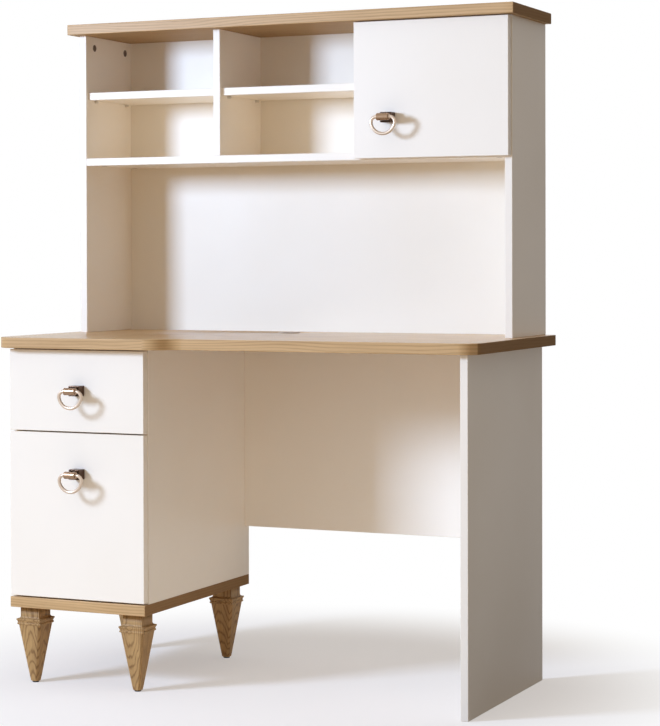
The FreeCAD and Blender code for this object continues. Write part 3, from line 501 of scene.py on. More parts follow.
class Form:
    """Points and quads of one piece, gathered from several grids."""

    def __init__(self):
        self.points, self.faces, self.grain, self.edges, self.count = [], [], [], [], 0

    def grid(self, points, wrap_rows=False, grain=None, face_grain=None, edges=None):
        """Add a grid of points (rows, columns, 3) whose columns close on themselves.

        grain gives each point's place in the wood, and face_grain gives it for each corner of each face where
        two mappings meet along an edge. edges says for each corner whether it is on a board's face, long
        edge, underside or end.
        """
        rows, columns = points.shape[:2]
        faces = grid_faces(rows, columns, wrap_rows)
        if face_grain is None and grain is not None:
            face_grain = grain.reshape(-1, 3)[faces]
        self.points.append(points.reshape(-1, 3))
        self.faces.append(faces + self.count)
        if face_grain is not None:
            self.grain.append(face_grain.reshape(-1, 3))
        if edges is not None:
            self.edges.append(edges.ravel())
        self.count += rows * columns
        return self

    def piece(self, name, body, slot, *nodes, look=None):
        """Make the object: one smooth mesh with merged doubles and outward faces, riding on its body."""
        points, faces = np.concatenate(self.points), np.concatenate(self.faces)
        mesh = bpy.data.meshes.new(name)
        mesh.from_pydata(points.tolist(), [], faces.tolist())
        if self.grain:
            layer = mesh.attributes.new("grain", "FLOAT_VECTOR", "CORNER")
            layer.data.foreach_set("vector", np.concatenate(self.grain).astype(np.float32).ravel())
        if self.edges:
            layer = mesh.attributes.new("edge", "FLOAT", "CORNER")
            layer.data.foreach_set("value", np.concatenate(self.edges).astype(np.float32))
        work = bmesh.new()
        work.from_mesh(mesh)
        bmesh.ops.remove_doubles(work, verts=work.verts, dist=MERGED)
        bmesh.ops.recalc_face_normals(work, faces=work.faces)
        work.to_mesh(mesh)
        work.free()
        mesh.shade_smooth()
        mesh.materials.append(finish_of(look or slot))
        thing = placed(name, mesh)
        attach(thing, body)
        if nodes:
            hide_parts(*nodes)
        return thing


def arc_points(centre, radius, start, end, steps):
    """Points on a circle from one angle to another, in degrees, both ends included."""
    turn = np.radians(np.linspace(start, end, steps + 1))
    return np.stack([centre[0] + radius * np.cos(turn), centre[1] + radius * np.sin(turn)], -1)


def spaced(points, step):
    """A closed outline with points added on its long runs, so that none is longer than the step."""
    following = np.roll(points, -1, axis=0)
    runs = np.linalg.norm(following - points, axis=1)
    parts = np.maximum(1, np.ceil(runs / step).astype(int))
    owner = np.repeat(np.arange(len(points)), parts)
    first = np.cumsum(parts) - parts
    share = ((np.arange(len(owner)) - first[owner]) / parts[owner])[:, None]
    return points[owner] * (1 - share) + following[owner] * share


def outward_normals(outline):
    """Unit normals of a closed outline that runs counter-clockwise."""
    tangent = np.roll(outline, -1, axis=0) - np.roll(outline, 1, axis=0)
    normal = np.stack([tangent[:, 1], -tangent[:, 0]], -1)
    return normal / np.linalg.norm(normal, axis=1, keepdims=True)


def rounded_rectangle(west, east, south, north, radius, steps):
    """A rectangle whose corners are quarter circles, counter-clockwise from the south-east corner."""
    corners = (((east - radius, south + radius), -90), ((east - radius, north - radius), 0),
               ((west + radius, north - radius), 90), ((west + radius, south + radius), 180))
    return np.concatenate([arc_points(centre, radius, start, start + 90, steps) for centre, start in corners])


def eased(corners, radius, closed=True, steps=4):
    """A line of straight runs with its corners rounded, and a point just before and after each round.

    The extra points keep the flats flat under smooth shading. A round takes at most a share of the shorter
    run beside it. An open line keeps its two ends.
    """
    most, guard = 0.35, 1.3
    corners = np.asarray(corners, float)
    before, after = np.roll(corners, 1, axis=0) - corners, np.roll(corners, -1, axis=0) - corners
    run_before = np.linalg.norm(before, axis=1, keepdims=True)
    run_after = np.linalg.norm(after, axis=1, keepdims=True)
    reach = np.minimum(radius, np.minimum(run_before, run_after) * most)
    before, after = before / run_before * reach, after / run_after * reach
    share = np.linspace(0, 1, steps + 1)[None, :, None]
    curve = corners[:, None] + (1 - share) ** 2 * before[:, None] + share ** 2 * after[:, None]
    entry, leave = (corners + before * guard)[:, None], (corners + after * guard)[:, None]
    rounds = np.concatenate([entry, curve, leave], axis=1)
    if closed:
        return rounds.reshape(-1, 2)
    return np.concatenate([corners[:1], rounds[1:-1].reshape(-1, 2), corners[-1:]])


def edge_profile(thickness, radius, steps):
    """Inset and height down a board's edge: from its top, round the upper edge, down and round the lower.

    Two close rows at each end of a round keep the flats flat under smooth shading.
    """
    turn = np.radians(np.linspace(0, 90, steps + 1))
    upper = np.stack([radius * (1 - np.sin(turn)), thickness - radius * (1 - np.cos(turn))], -1)
    lower = np.stack([upper[:, 0], thickness - upper[:, 1]], -1)[::-1]
    guard = radius * 0.25
    top = [[radius + guard, thickness]]
    side = [[0.0, thickness - radius - guard], [0.0, radius + guard]]
    bottom = [[radius + guard, 0.0]]
    return np.concatenate([top, upper, side, lower, bottom])


def band_places(outline, columns, heights, seed):
    """Places in the wood on a board's edge band: along the outline, up the band, and at one depth.

    Where a face closes the outline, its first point counts as one whole round further on.
    """
    steps_round = np.linalg.norm(np.diff(outline, axis=0, append=outline[:1]), axis=1)
    run = np.concatenate([[0.0], np.cumsum(steps_round)])
    closes = columns.max(axis=1, keepdims=True) == len(outline) - 1
    ahead = np.where((columns == 0) & closes, len(outline), columns)
    return np.stack([run[ahead] + seed, heights + seed / 2, np.full(columns.shape, BAND_DEPTH)], -1)


def slab(form, outline, low, thickness, radius, steps, hole=None, seed=0.0):
    """A board: an edge profile carried round an outline, with flat faces that close on a hole or a point.

    The wood runs along X on both faces, and along the outline on the edge band, which starts and ends half
    way round the upper and the lower edge. The seed shifts the wood, mostly along its grain.
    """
    normal = outward_normals(outline)
    profile = edge_profile(thickness, radius, steps)
    middle, reach = hole or (outline.mean(axis=0), 0.0)
    ray = outline - middle
    inner = middle + ray / np.linalg.norm(ray, axis=1, keepdims=True) * reach
    rings = outline - normal * profile[:, 0, None, None]
    plan = np.concatenate([inner[None], rings, inner[None]])
    heights = low + np.concatenate([[thickness], profile[:, 1], [0.0]])
    points = np.concatenate([plan, np.broadcast_to(heights[:, None, None], (*plan.shape[:2], 1))], -1)
    wrap = hole is not None
    faces = grid_faces(*points.shape[:2], wrap)
    corners = points.reshape(-1, 3)[faces]
    columns, row = faces % len(outline), np.arange(len(faces)) // len(outline)
    band_start, band_end = steps // 2 + 2, len(points) - 3 - steps // 2
    is_band = ((row >= band_start) & (row < band_end))[:, None]
    # Undersides get the value that the oak finish turns into painted shade
    is_under = ((row >= band_end) & (row < len(points) - 1))[:, None]
    band_value = np.where(np.abs(normal[:, 0]) > END_LEAN, END, LONG_EDGE)[columns]
    edges = np.select([is_band, is_under], [band_value, UNDERSIDE], FACE)
    flat_grain = corners + [seed, seed / 9, HEART_BELOW - low]
    band_grain = band_places(outline, columns, corners[..., 2], seed)
    face_grain = np.where(is_band[..., None], band_grain, flat_grain)
    return form.grid(points, wrap, edges=edges, face_grain=face_grain)


def turned_frame(axis):
    """Two directions across an axis and the axis itself, as rows."""
    axis = np.asarray(axis, float)
    side = np.roll(axis, 1)
    return side, np.cross(axis, side), axis


def lathe(form, profile, origin, axis, steps):
    """A profile of (radius, height) pairs turned about an axis through the origin point."""
    side, other, along = turned_frame(axis)
    turn = np.linspace(0, 2 * np.pi, steps, endpoint=False)
    ring = np.cos(turn)[:, None] * side + np.sin(turn)[:, None] * other
    profile = np.asarray(profile, float)
    points = np.asarray(origin) + profile[:, 0, None, None] * ring[None] + profile[:, 1, None, None] * along
    return form.grid(points)


def rim(radius, height, rounding, steps, outer=True):
    """A quarter round from a cylinder's wall up to its upper face, as (radius, height) pairs."""
    turn = np.radians(np.linspace(0, 90, steps + 1))
    out = radius - rounding * (1 - np.cos(turn)) if outer else radius + rounding * (1 - np.cos(turn))
    return np.stack([out, height - rounding * (1 - np.sin(turn))], -1)


def turned_solid(radius, low, high, rounding, steps):
    """Profile of a closed cylinder with rounded rims, from its foot's middle to its head's middle."""
    upper = rim(radius, high, rounding, steps)
    lower = np.column_stack([upper[:, 0], low + high - upper[:, 1]])[::-1]
    guard = rounding * 0.3
    foot = [[0.0, low], [radius - rounding - guard, low]]
    wall = [[radius, low + rounding + guard], [radius, high - rounding - guard]]
    head = [[radius - rounding - guard, high], [0.0, high]]
    return np.concatenate([foot, lower, wall, upper, head])


def centre_of(node):
    """Middle of a node's box."""
    low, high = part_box(node)
    return np.array((low + high) / 2)


def points_of(node):
    """The points of a node's mesh, one in each row."""
    vertices = frame["nodes"][node].data.vertices
    spots = np.empty(len(vertices) * 3, np.float32)
    vertices.foreach_get("co", spots)
    return spots.reshape(-1, 3).astype(float)


def solid_boxes(node):
    """Low and high corners of a node's like solids.

    Every point starts with its own label. The points of a triangle take the lowest of their labels, again and
    again until no label changes, so each solid ends with one label.
    """
    mesh = frame["nodes"][node].data
    mesh.calc_loop_triangles()
    corners = np.empty(len(mesh.loop_triangles) * 3, np.int32)
    mesh.loop_triangles.foreach_get("vertices", corners)
    spots, owner = np.unique(points_of(node).round(POINT_DIGITS), axis=0, return_inverse=True)
    corners = owner.reshape(-1)[corners].reshape(-1, 3)
    labels, before = np.arange(len(spots)), None
    while before is None or (labels != before).any():
        before = labels.copy()
        lowest = labels[corners].min(axis=1, keepdims=True)
        np.minimum.at(labels, corners, np.broadcast_to(lowest, corners.shape))
    names = np.unique(labels)
    if len(names) != LIKE_SOLIDS[node]:
        raise RuntimeError(f"{node} has {len(names)} solids, and {LIKE_SOLIDS[node]} were expected")
    return [(spots[labels == name].min(axis=0), spots[labels == name].max(axis=0)) for name in names]


def turned_rods(node, axis, steps):
    """For each of a node's like solids, a rod with rounded rims, turned about a line through its middle."""
    look, form = sizes(), Form()
    along = int(np.argmax(axis))
    across = along - 1
    for low, high in solid_boxes(node):
        origin = (low + high) / 2
        origin[along] = 0.0
        radius = (high[across] - low[across]) / 2
        profile = turned_solid(radius, low[along], high[along], look.rim_round, look.arc_steps)
        lathe(form, profile, origin, axis, steps)
    return form


# Pieces

class DESK_OT_boards(bpy.types.Operator):
    """White boards of the carcass, hutch, fronts and drawer boxes"""
    bl_idname = "desk.boards"
    bl_label = "White boards"

    def execute(self, context):
        slots = ("white_laminate", "white_back_board", "drawer_board")
        dress(node for node, slot in SLOT_OF.items() if slot in slots)
        return {"FINISHED"}


class DESK_OT_oak_boards(bpy.types.Operator):
    """Oak desktop with its soft bend, the hutch top and the pedestal's base board"""
    bl_idname = "desk.oak_boards"
    bl_label = "Oak boards"

    # How far the wood of one board is shifted from the wood of the board before, in metres
    WOOD_SHIFT = 1.7
    # Points within this share of a board's half thickness are on its edge band
    BAND_SHARE = 0.95

    def execute(self, context):
        look = sizes()
        for index, node in enumerate(("hutch_top", "pedestal_base"), start=1):
            low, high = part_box(node)
            outline = rounded_rectangle(low.x, high.x, low.y, high.y, look.oak_corner, look.arc_steps)
            self.board(node, outline, seed=index * self.WOOD_SHIFT)
        passage = (centre_of("cable_grommet")[:2], self.sleeve_radius())
        self.board("desktop", self.bent_outline(*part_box("desktop")), hole=passage)
        return {"FINISHED"}

    @staticmethod
    def board(node, outline, hole=None, seed=0.0):
        """One oak board between the lower and the upper face of its node's box."""
        look = sizes()
        low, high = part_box(node)
        form = slab(Form(), spaced(outline, OUTLINE_STEP), low.z, high.z - low.z, look.oak_round,
                    look.arc_steps, hole, seed)
        form.piece(f"{node}_oak", BODY_OF[node], "oak_laminate", node)

    @staticmethod
    def sleeve_radius():
        """The grommet's sleeve fills the hole, so the hole is as wide as the lower end of the grommet."""
        spots = points_of("cable_grommet")
        lowest = spots[spots[:, 2] < spots[:, 2].min() + ON_LINE]
        return float(np.linalg.norm(lowest[:, :2] - centre_of("cable_grommet")[:2], axis=1).max())

    def bent_outline(self, low, high):
        """Counter-clockwise from the bend: two equal tangent arcs, the wing, the back and the deep left part.

        The corner radius, the step and the run of the bend are read from the solid's own front edge.
        """
        spots = points_of("desktop")
        band = spots[np.abs(spots[:, 2] - (low.z + high.z) / 2) < (high.z - low.z) / 2 * self.BAND_SHARE]
        wing = band[(band[:, 0] > 0) & (band[:, 1] < (low.y + high.y) / 2)]
        wing_y = wing[:, 1].min()
        corner = high.x - wing[wing[:, 1] < wing_y + ON_LINE][:, 0].max()
        bend_west = band[band[:, 1] < low.y + ON_LINE][:, 0].max()
        bend_east = band[np.abs(band[:, 1] - wing_y) < ON_LINE][:, 0].min()
        step, run = wing_y - low.y, bend_east - bend_west
        radius = (run * run + step * step) / (4 * step)
        swing = math.degrees(math.asin(run / 2 / radius))
        swell = arc_points((bend_west, low.y + radius), radius, -90, swing - 90, BEND_STEPS)
        hollow = arc_points((bend_east, wing_y - radius), radius, 90 + swing, 90, BEND_STEPS)
        right = arc_points((high.x - corner, wing_y + corner), corner, -90, 0, BEND_STEPS)
        sharp = sizes().oak_corner
        back_right = arc_points((high.x - sharp, high.y - sharp), sharp, 0, 90, CORNER_STEPS)
        back_left = arc_points((low.x + sharp, high.y - sharp), sharp, 90, 180, CORNER_STEPS)
        left = arc_points((low.x + corner, low.y + corner), corner, 180, 270, BEND_STEPS)
        return np.concatenate([swell, hollow[1:], right, back_right, back_left, left])


class DESK_OT_legs(bpy.types.Operator):
    """Four tapered oak legs with chamfered edges, a flared collar and a thin lip, on dark glides"""
    bl_idname = "desk.legs"
    bl_label = "Tapered legs"

    # Where each leg's log has its heart, from the leg's own axis, and how far the wood of one leg is shifted
    # from the wood of the leg before, in metres
    LOGS = ((0.002, 0.004), (-0.004, -0.043), (0.003, -0.038), (-0.003, 0.006))
    LOG_SHIFT = 0.4
    # Rounding of a ring's eight edges, in edge roundings
    RING_EASE = 1.5

    def execute(self, context):
        legs = sorted(node for node, slot in SLOT_OF.items() if slot == "oak_leg")
        for index, node in enumerate(legs):
            self.leg(index, node)
        pads = turned_rods("leg_glides", (0, 0, 1), sizes().turn_steps)
        pads.piece("leg_glide_pads", BODY_OF["leg_glides"], "black_plastic", "leg_glides")
        return {"FINISHED"}

    def leg(self, index, node):
        """Rings of a chamfered square carried up the leg's profile.

        Each leg's wood has its own upright log, with its heart near the leg's axis or a little in front of
        the leg, so that the leaning faces cut its year rings in arches.
        """
        middle = centre_of(node)
        profile = self.profile(*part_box(node))
        look = bpy.context.scene.desk_leg
        change = [look.shaft_height, look.shaft_height + look.bead]
        cuts = np.interp(profile[:, 1], change, [look.chamfer, look.crisp])
        rings = np.stack([self.ring(half, cut) for half, cut in zip(profile[:, 0], cuts)])
        heights = np.broadcast_to(profile[:, 1, None, None], (*rings.shape[:2], 1))
        points = np.concatenate([rings + middle[:2], heights], -1)
        caps = [np.broadcast_to([middle[0], middle[1], end], points[:1].shape) for end in profile[[0, -1], 1]]
        points = np.concatenate([caps[0], points, caps[1]])
        side, front = self.LOGS[index]
        grain = np.stack([points[..., 2] + self.LOG_SHIFT * index, points[..., 0] - middle[0] - side,
                          points[..., 1] - middle[1] - front], -1)
        Form().grid(points, grain=grain).piece(f"{node}_oak", BODY_OF[node], "oak_leg", node)

    @staticmethod
    def profile(low, high):
        """Half width and height up the leg: taper, bead, hollow collar, lip, cove and neck."""
        look = bpy.context.scene.desk_leg
        lip = (high.x - low.x) / 2
        turn = np.radians(np.linspace(0, 90, COVE_STEPS + 1))
        cove = np.column_stack([look.cove / 2 - (look.cove - look.neck) / 2 * np.sin(turn),
                                look.cove_high - (look.cove_high - look.lip_high) * np.cos(turn)])
        bead = look.top / 2 + look.bead
        corners = [(look.tip / 2 - look.bead / 2, low.z), (look.tip / 2, low.z + look.bead / 2),
                   (look.top / 2, look.shaft_height), (bead, look.shaft_height + look.bead / 2),
                   (bead, look.bead_height - look.bead / 2), (look.top / 2, look.bead_height),
                   (look.collar / 2, look.lip_low), (lip, look.lip_low + look.bead / 2),
                   (lip, look.lip_high - look.bead / 4), *cove, (look.neck / 2, high.z)]
        shaft = np.column_stack([np.linspace(look.tip, look.top, SHAFT_STEPS)[1:-1] / 2,
                                 np.linspace(low.z, look.shaft_height, SHAFT_STEPS)[1:-1]])
        line = eased(corners, look.edge, closed=False)
        line = np.concatenate([line, shaft])
        return line[np.argsort(line[:, 1], kind="stable")]

    def ring(self, half, cut):
        """One ring: a square with cut corners whose eight edges are rounded, counter-clockwise."""
        flat = half - cut
        return eased([(half, -flat), (half, flat), (flat, half), (-flat, half),
                      (-half, flat), (-half, -flat), (-flat, -half), (flat, -half)],
                     bpy.context.scene.desk_leg.edge * self.RING_EASE)


class DESK_OT_ring_pulls(bpy.types.Operator):
    """Ring pulls: stepped block, turned barrel and the swinging ring with its collars"""
    bl_idname = "desk.ring_pulls"
    bl_label = "Ring pulls"

    def execute(self, context):
        for name in PULLS:
            self.block(name)
            self.ring(name)
        return {"FINISHED"}

    @staticmethod
    def axis_of(name):
        """A point on the line that the ring swings about."""
        return np.array(next(joint["pos_m"] for joint in frame["joints"] if joint["child"] == f"{name}_ring"))

    def block(self, name):
        """The block on the front, the narrower post before it and the cross barrel with rounded rims."""
        look, steps = bpy.context.scene.desk_pull, sizes().arc_steps
        node = f"{name}_pull_mount"
        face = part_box(node)[1].y
        x, y, z = axis = self.axis_of(name)
        front = face - look.block_depth
        form = Form()
        for width, height, near, far in ((look.block_width, look.block_height, front, face),
                                         (look.post_width, look.post_height, y, front + look.edge * 2)):
            outline = rounded_rectangle(x - width / 2, x + width / 2, z - height / 2, z + height / 2,
                                        look.edge, steps)
            self.lying_slab(form, outline, near, far)
        form.piece(f"{name}_pull_block", BODY_OF[node], "rose_gold", node, look="bronze")
        half = look.barrel_length / 2
        barrel = turned_solid(look.barrel_radius, -half, half, look.edge, steps)
        form = lathe(Form(), barrel, axis, (1, 0, 0), sizes().turn_steps)
        form.piece(f"{name}_pull_barrel", BODY_OF[node], "rose_gold", look="barrel")

    @staticmethod
    def lying_slab(form, outline, near, far):
        """A slab whose thickness runs along Y: the board's grid with its axes turned."""
        edge = bpy.context.scene.desk_pull.edge
        flat = slab(Form(), outline, 0.0, far - near, edge, sizes().arc_steps)
        points = flat.points[0]
        turned = np.column_stack([points[:, 0], far - points[:, 2], points[:, 1]])
        return form.grid(turned.reshape(-1, len(outline), 3))

    def ring(self, name):
        """Round wire along two shoulder arcs and a wide bottom arc that meet in line, and two collars."""
        look = bpy.context.scene.desk_pull
        node = f"{name}_pull_ring"
        axis = self.axis_of(name)
        wire, shoulder, drop = look.wire_radius, look.shoulder, look.drop
        start = look.half_width - shoulder
        wide = (start ** 2 + drop ** 2 - 2 * drop * shoulder) / (2 * (drop - 2 * shoulder))
        lean = math.degrees(math.atan2(drop - shoulder - wide, start))
        right = arc_points((start, -shoulder), shoulder, 90, lean, SHOULDER_STEPS)
        bottom = arc_points((0.0, wide - drop), wide, lean, -180 - lean, SHOULDER_STEPS * 2)
        left = arc_points((-start, -shoulder), shoulder, 180 - lean, 90, SHOULDER_STEPS)
        path = np.concatenate([right, bottom[1:], left[1:]])
        tangent = np.gradient(path, axis=0)
        tangent /= np.linalg.norm(tangent, axis=1, keepdims=True)
        normal = np.stack([-tangent[:, 1], tangent[:, 0]], -1)
        turn = np.linspace(0, 2 * np.pi, WIRE_STEPS, endpoint=False)
        across = path[:, None] + wire * np.cos(turn)[None, :, None] * normal[:, None]
        deep = np.broadcast_to(wire * np.sin(turn)[None, :], across.shape[:2])
        form = Form().grid(axis + np.stack([across[..., 0], deep, across[..., 1]], -1))
        profile = turned_solid(look.collar_radius, look.barrel_length / 2 + look.side_play, start,
                               look.side_play, sizes().arc_steps)
        for side in (1, -1):
            lathe(form, profile * [1, side], axis, (1, 0, 0), sizes().turn_steps)
        form.piece(f"{name}_pull_ring_wire", BODY_OF[node], "rose_gold", node)


class DESK_OT_fittings(bpy.types.Operator):
    """Runners, hinges, cam fittings, bolts, screws, pins, dowels and pads"""
    bl_idname = "desk.fittings"
    bl_label = "Fittings"

    # Measures of a cam's face, as shares of its radius, and the rings of points from its middle to its rim
    SLOT_WIDTH, SLOT_REACH, SLOT_DEPTH = 0.13, 0.62, 0.32
    DISH_REACH, DISH_DEPTH = 0.84, 0.05
    RINGS = np.concatenate([np.linspace(0.0, 0.82, 18), [0.86, 0.9, 0.94, 0.97, 1.0]])
    DRUM_LENGTH = 0.98

    def execute(self, context):
        self.cams()
        rods = turned_rods("shelf_pins", (1, 0, 0), sizes().turn_steps // 2)
        rods.piece("shelf_pin_rods", BODY_OF["shelf_pins"], "steel", "shelf_pins")
        plain = ("steel", "beech", "clear_rubber")
        dress(node for node, slot in SLOT_OF.items() if slot in plain)
        return {"FINISHED"}

    def cams(self):
        """All cam locks as one piece. Each looks to the side on which it lies nearer to its board's face."""
        boards = np.array([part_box(node) for node, slot in SLOT_OF.items() if slot == "white_laminate"])
        form = Form()
        for low, high in solid_boxes("cam_locks"):
            span, middle = high - low, (low + high) / 2
            thin = int(np.argmin(span))
            around = boards[((boards[:, 0] < middle) & (middle < boards[:, 1])).all(axis=1)][0]
            mouth_is_high = around[1][thin] - high[thin] < low[thin] - around[0][thin]
            axis = np.zeros(3)
            axis[thin] = 1.0 if mouth_is_high else -1.0
            form.grid(self.drum(middle, axis, max(span) / 2, span[thin]))
        form.piece("cam_lock_faces", BODY_OF["cam_locks"], "dark_zinc", "cam_locks")

    def drum(self, middle, axis, radius, deep):
        """Rings of points on a drum's face, from its middle to its rim, and one ring at its foot.

        The face has a raised rim, a shallow dish inside it and a cross slot in the dish.
        """
        side, other, _ = turned_frame(np.abs(axis))
        rings = self.RINGS * radius
        turn = np.linspace(0, 2 * np.pi, sizes().turn_steps, endpoint=False)
        u, v = np.outer(rings, np.cos(turn)), np.outer(rings, np.sin(turn))
        reach = np.hypot(u, v)
        slot = np.minimum(np.abs(u), np.abs(v)) < radius * self.SLOT_WIDTH
        cross = slot & (reach < radius * self.SLOT_REACH)
        dish = np.where(reach < radius * self.DISH_REACH, radius * self.DISH_DEPTH, 0.0)
        level = deep / 2 - np.where(cross, radius * self.SLOT_DEPTH, dish)
        face = middle + u[..., None] * side + v[..., None] * other + level[..., None] * axis
        foot = face[-1:] - deep * self.DRUM_LENGTH * axis
        return np.concatenate([face, foot])


class DESK_OT_grommet(bpy.types.Operator):
    """Cable grommet: a flanged sleeve turned from one closed profile"""
    bl_idname = "desk.grommet"
    bl_label = "Cable grommet"

    # Rounding of the flange's rims, as a share of its thickness
    RIM_SHARE = 0.8

    def execute(self, context):
        look = sizes()
        low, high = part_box("cable_grommet")
        middle = centre_of("cable_grommet")
        spots = points_of("cable_grommet")
        reach = np.linalg.norm(spots[:, :2] - middle[:2], axis=1)
        bore, flange = reach.min(), reach.max()
        sleeve = DESK_OT_oak_boards.sleeve_radius()
        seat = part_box("desktop")[1].z
        rounding = (high.z - seat) * self.RIM_SHARE
        outer = rim(flange, high.z, rounding, look.arc_steps)
        inner = rim(bore, high.z, rounding, look.arc_steps, outer=False)[::-1]
        sleeve_side = [[bore, low.z], [sleeve, low.z], [sleeve, seat], [flange, seat]]
        profile = np.concatenate([sleeve_side, outer, inner, sleeve_side[:1]])
        form = lathe(Form(), profile, (middle[0], middle[1], 0.0), (0, 0, 1), look.turn_steps)
        form.piece("cable_grommet_ring", BODY_OF["cable_grommet"], "taupe_plastic", "cable_grommet")
        return {"FINISHED"}


class DESK_OT_stage(bpy.types.Operator):
    """Pale floor, plain studio light and a camera at the photograph's angle"""
    bl_idname = "desk.stage"
    bl_label = "Stage"

    # Where the floor to the right of the desk starts to be dull and where it is fully so, along X and along Y
    BESIDE_X = (0.3, 0.6)
    BESIDE_Y = (-1.0, -0.3)
    # The front light comes from the front and half way up
    FRONT, RISE = 0.8, 0.52
    TOP_SHARPNESS = 6.0
    # Bounces left for other surfaces beside those from board to board
    SPARE_BOUNCES = 2

    def execute(self, context):
        stage = context.scene.desk_stage
        context.scene.view_settings.view_transform = "Standard"
        context.scene.cycles.diffuse_bounces = stage.light_bounces
        context.scene.cycles.max_bounces = stage.light_bounces + self.SPARE_BOUNCES
        self.floor(stage)
        self.sky(stage)
        self.key(stage)
        self.camera(stage)
        return {"FINISHED"}

    @staticmethod
    def seen_directly(shader):
        """1 for rays from the camera and from shiny surfaces, so that both see the white backdrop."""
        path = shader.add("LightPath", output="Is Camera Ray")
        return path + path.output("Is Glossy Ray") + path.output("Is Transmission Ray")

    def floor(self, stage):
        """A wide pale floor. Seen directly, it is partly plain white and fades out to the backdrop's white.

        The light that it throws back is warm, and dull to the right of the desk.
        """
        half = stage.floor_size / 2
        mesh = bpy.data.meshes.new("floor")
        corners = [(-half, -half, 0), (half, -half, 0), (half, half, 0), (-half, half, 0)]
        mesh.from_pydata(corners, [], [(0, 1, 2, 3)])
        shader = Shader(bpy.data.materials.new("floor"))
        place = shader.object_place()
        split = shader.add("SeparateXYZ", {}, {"Vector": place})
        beside = split.over(*self.BESIDE_X) * split.output("Y").over(*self.BESIDE_Y)
        bounce = shader.blend(beside, stage.floor_bounce[:], stage.floor_beside[:])
        dull = shader.add("BsdfDiffuse", {}, {"Color": bounce})
        pale = shader.add("BsdfDiffuse", {}, {"Color": stage.floor_pale[:]})
        near = shader.add("Emission", {}, {"Strength": stage.floor_glow})
        both = shader.add("AddShader", {}, {0: pale, 1: near})
        white = shader.add("Emission", {}, {"Strength": 1.0})
        reach = shader.add("VectorMath", {"operation": "LENGTH"}, {0: place}, output="Value")
        far = reach.over(stage.fade_start, stage.fade_end)
        seen = shader.add("MixShader", {}, {0: far, 1: both, 2: white})
        chosen = shader.add("MixShader", {}, {0: self.seen_directly(shader), 1: dull, 2: seen})
        shader.add("OutputMaterial", {}, {"Surface": chosen})
        mesh.materials.append(bpy.data.materials["floor"])
        placed("floor", mesh)

    def sky(self, stage):
        """Soft light, brightest from straight above and from the front, with a little from all round."""
        world = bpy.data.worlds.new("studio")
        bpy.context.scene.world = world
        shader = Shader(world)
        direction = shader.add("TexCoord", output="Generated")
        split = shader.add("SeparateXYZ", {}, {"Vector": direction})
        depth, rise = split.output("Y"), split.output("Z").above_zero()
        front = (rise * self.RISE - depth * self.FRONT).above_zero()
        rear = depth.above_zero()
        light = (stage.sky_even + rise * rise * stage.sky_upper + rise ** self.TOP_SHARPNESS * stage.sky_top
                 + front * front * stage.sky_front + rear * rear * stage.sky_rear) * stage.sky_strength
        around = shader.add("Background", {}, {"Color": stage.sky_colour[:], "Strength": light})
        white = shader.add("Background", {}, {"Color": (1.0, 1.0, 1.0), "Strength": 1.0})
        chosen = shader.add("MixShader", {}, {0: self.seen_directly(shader), 1: around, 2: white})
        shader.add("OutputWorld", {}, {"Surface": chosen})

    @staticmethod
    def key(stage):
        """A soft box at the front left. Its light doesn't fall off, so both ends of the desk get as much."""
        lamp = bpy.data.lights.new("key", "AREA")
        lamp.shape = "SQUARE"
        lamp.size = stage.key_size
        lamp.energy = stage.key_strength
        lamp.color = stage.key_colour
        shader = Shader(lamp)
        fade = shader.add("LightFalloff", {}, {"Strength": 1.0}, output="Constant")
        shader.add("OutputLight", {}, {"Surface": shader.add("Emission", {}, {"Strength": fade})})
        thing = placed("key", lamp)
        thing.location = stage.key_place
        towards = Vector(stage.key_aim) - Vector(stage.key_place)
        thing.rotation_euler = towards.to_track_quat("-Z", "Y").to_euler()

    @staticmethod
    def camera(stage):
        """A camera that looks along its yaw and pitch, with the photograph's focal length and middle row."""
        yaw, pitch, roll = stage.camera_yaw, stage.camera_pitch, stage.camera_roll
        right = Vector((math.cos(yaw), math.sin(yaw), 0.0))
        level = Vector((-math.sin(yaw), math.cos(yaw), 0.0))
        rise = Vector((0.0, 0.0, 1.0))
        ahead = level * math.cos(pitch) - rise * math.sin(pitch)
        up = level * math.sin(pitch) + rise * math.cos(pitch)
        leaned_right = right * math.cos(roll) + up * math.sin(roll)
        leaned_up = up * math.cos(roll) - right * math.sin(roll)
        lens = bpy.data.cameras.new("camera")
        lens.sensor_fit = "HORIZONTAL"
        lens.lens = stage.focal_pixels / PHOTO_WIDTH * lens.sensor_width
        lens.shift_y = (stage.middle_row - PHOTO_HEIGHT / 2) / PHOTO_WIDTH
        lens.clip_end = stage.floor_size
        thing = placed("camera", lens)
        turn = Matrix((leaned_right, leaned_up, -ahead)).transposed().to_4x4()
        thing.matrix_world = Matrix.Translation(Vector(stage.camera_place)) @ turn
        bpy.context.scene.camera = thing


OPERATORS = (DESK_OT_boards, DESK_OT_oak_boards, DESK_OT_legs, DESK_OT_ring_pulls, DESK_OT_fittings,
             DESK_OT_grommet, DESK_OT_stage)


class DESK_PT_panel(bpy.types.Panel):
    """Lists the pieces and the stage in the order in which they are made"""
    bl_idname = "DESK_PT_panel"
    bl_label = "Writing desk"
    bl_space_type = "VIEW_3D"
    bl_region_type = "UI"
    bl_category = "Desk"

    def draw(self, context):
        for operator in OPERATORS:
            self.layout.operator(operator.bl_idname)


CLASSES = (*GROUPS.values(), *OPERATORS, DESK_PT_panel)


def register():
    for cls in CLASSES:
        bpy.utils.register_class(cls)
    for name, group in GROUPS.items():
        setattr(bpy.types.Scene, name, PointerProperty(type=group))


def unregister():
    for name in GROUPS:
        delattr(bpy.types.Scene, name)
    for cls in reversed(CLASSES):
        bpy.utils.unregister_class(cls)


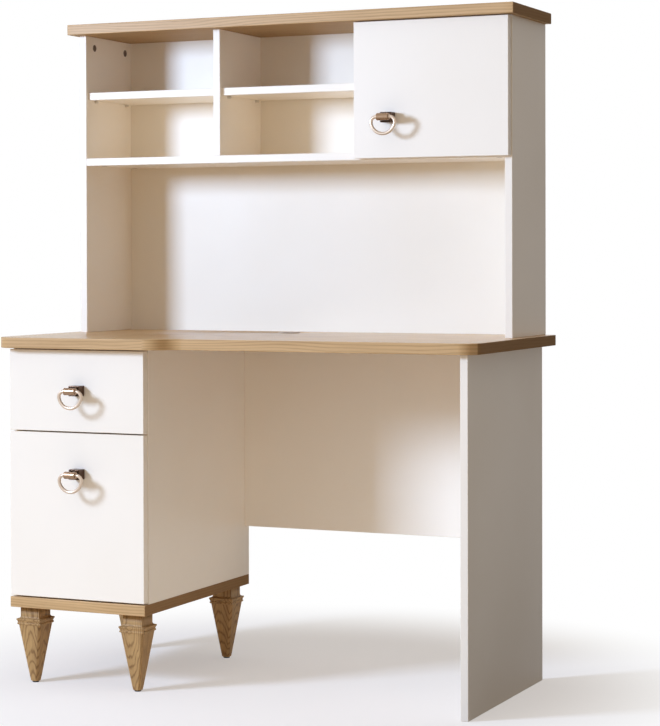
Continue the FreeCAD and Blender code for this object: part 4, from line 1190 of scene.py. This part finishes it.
def main():
    register()
    bpy.ops.desk.boards()
    bpy.ops.desk.oak_boards()
    bpy.ops.desk.legs()
    bpy.ops.desk.ring_pulls()
    bpy.ops.desk.fittings()
    bpy.ops.desk.grommet()
    bpy.ops.desk.stage()


if __name__ == "__main__":
    main()
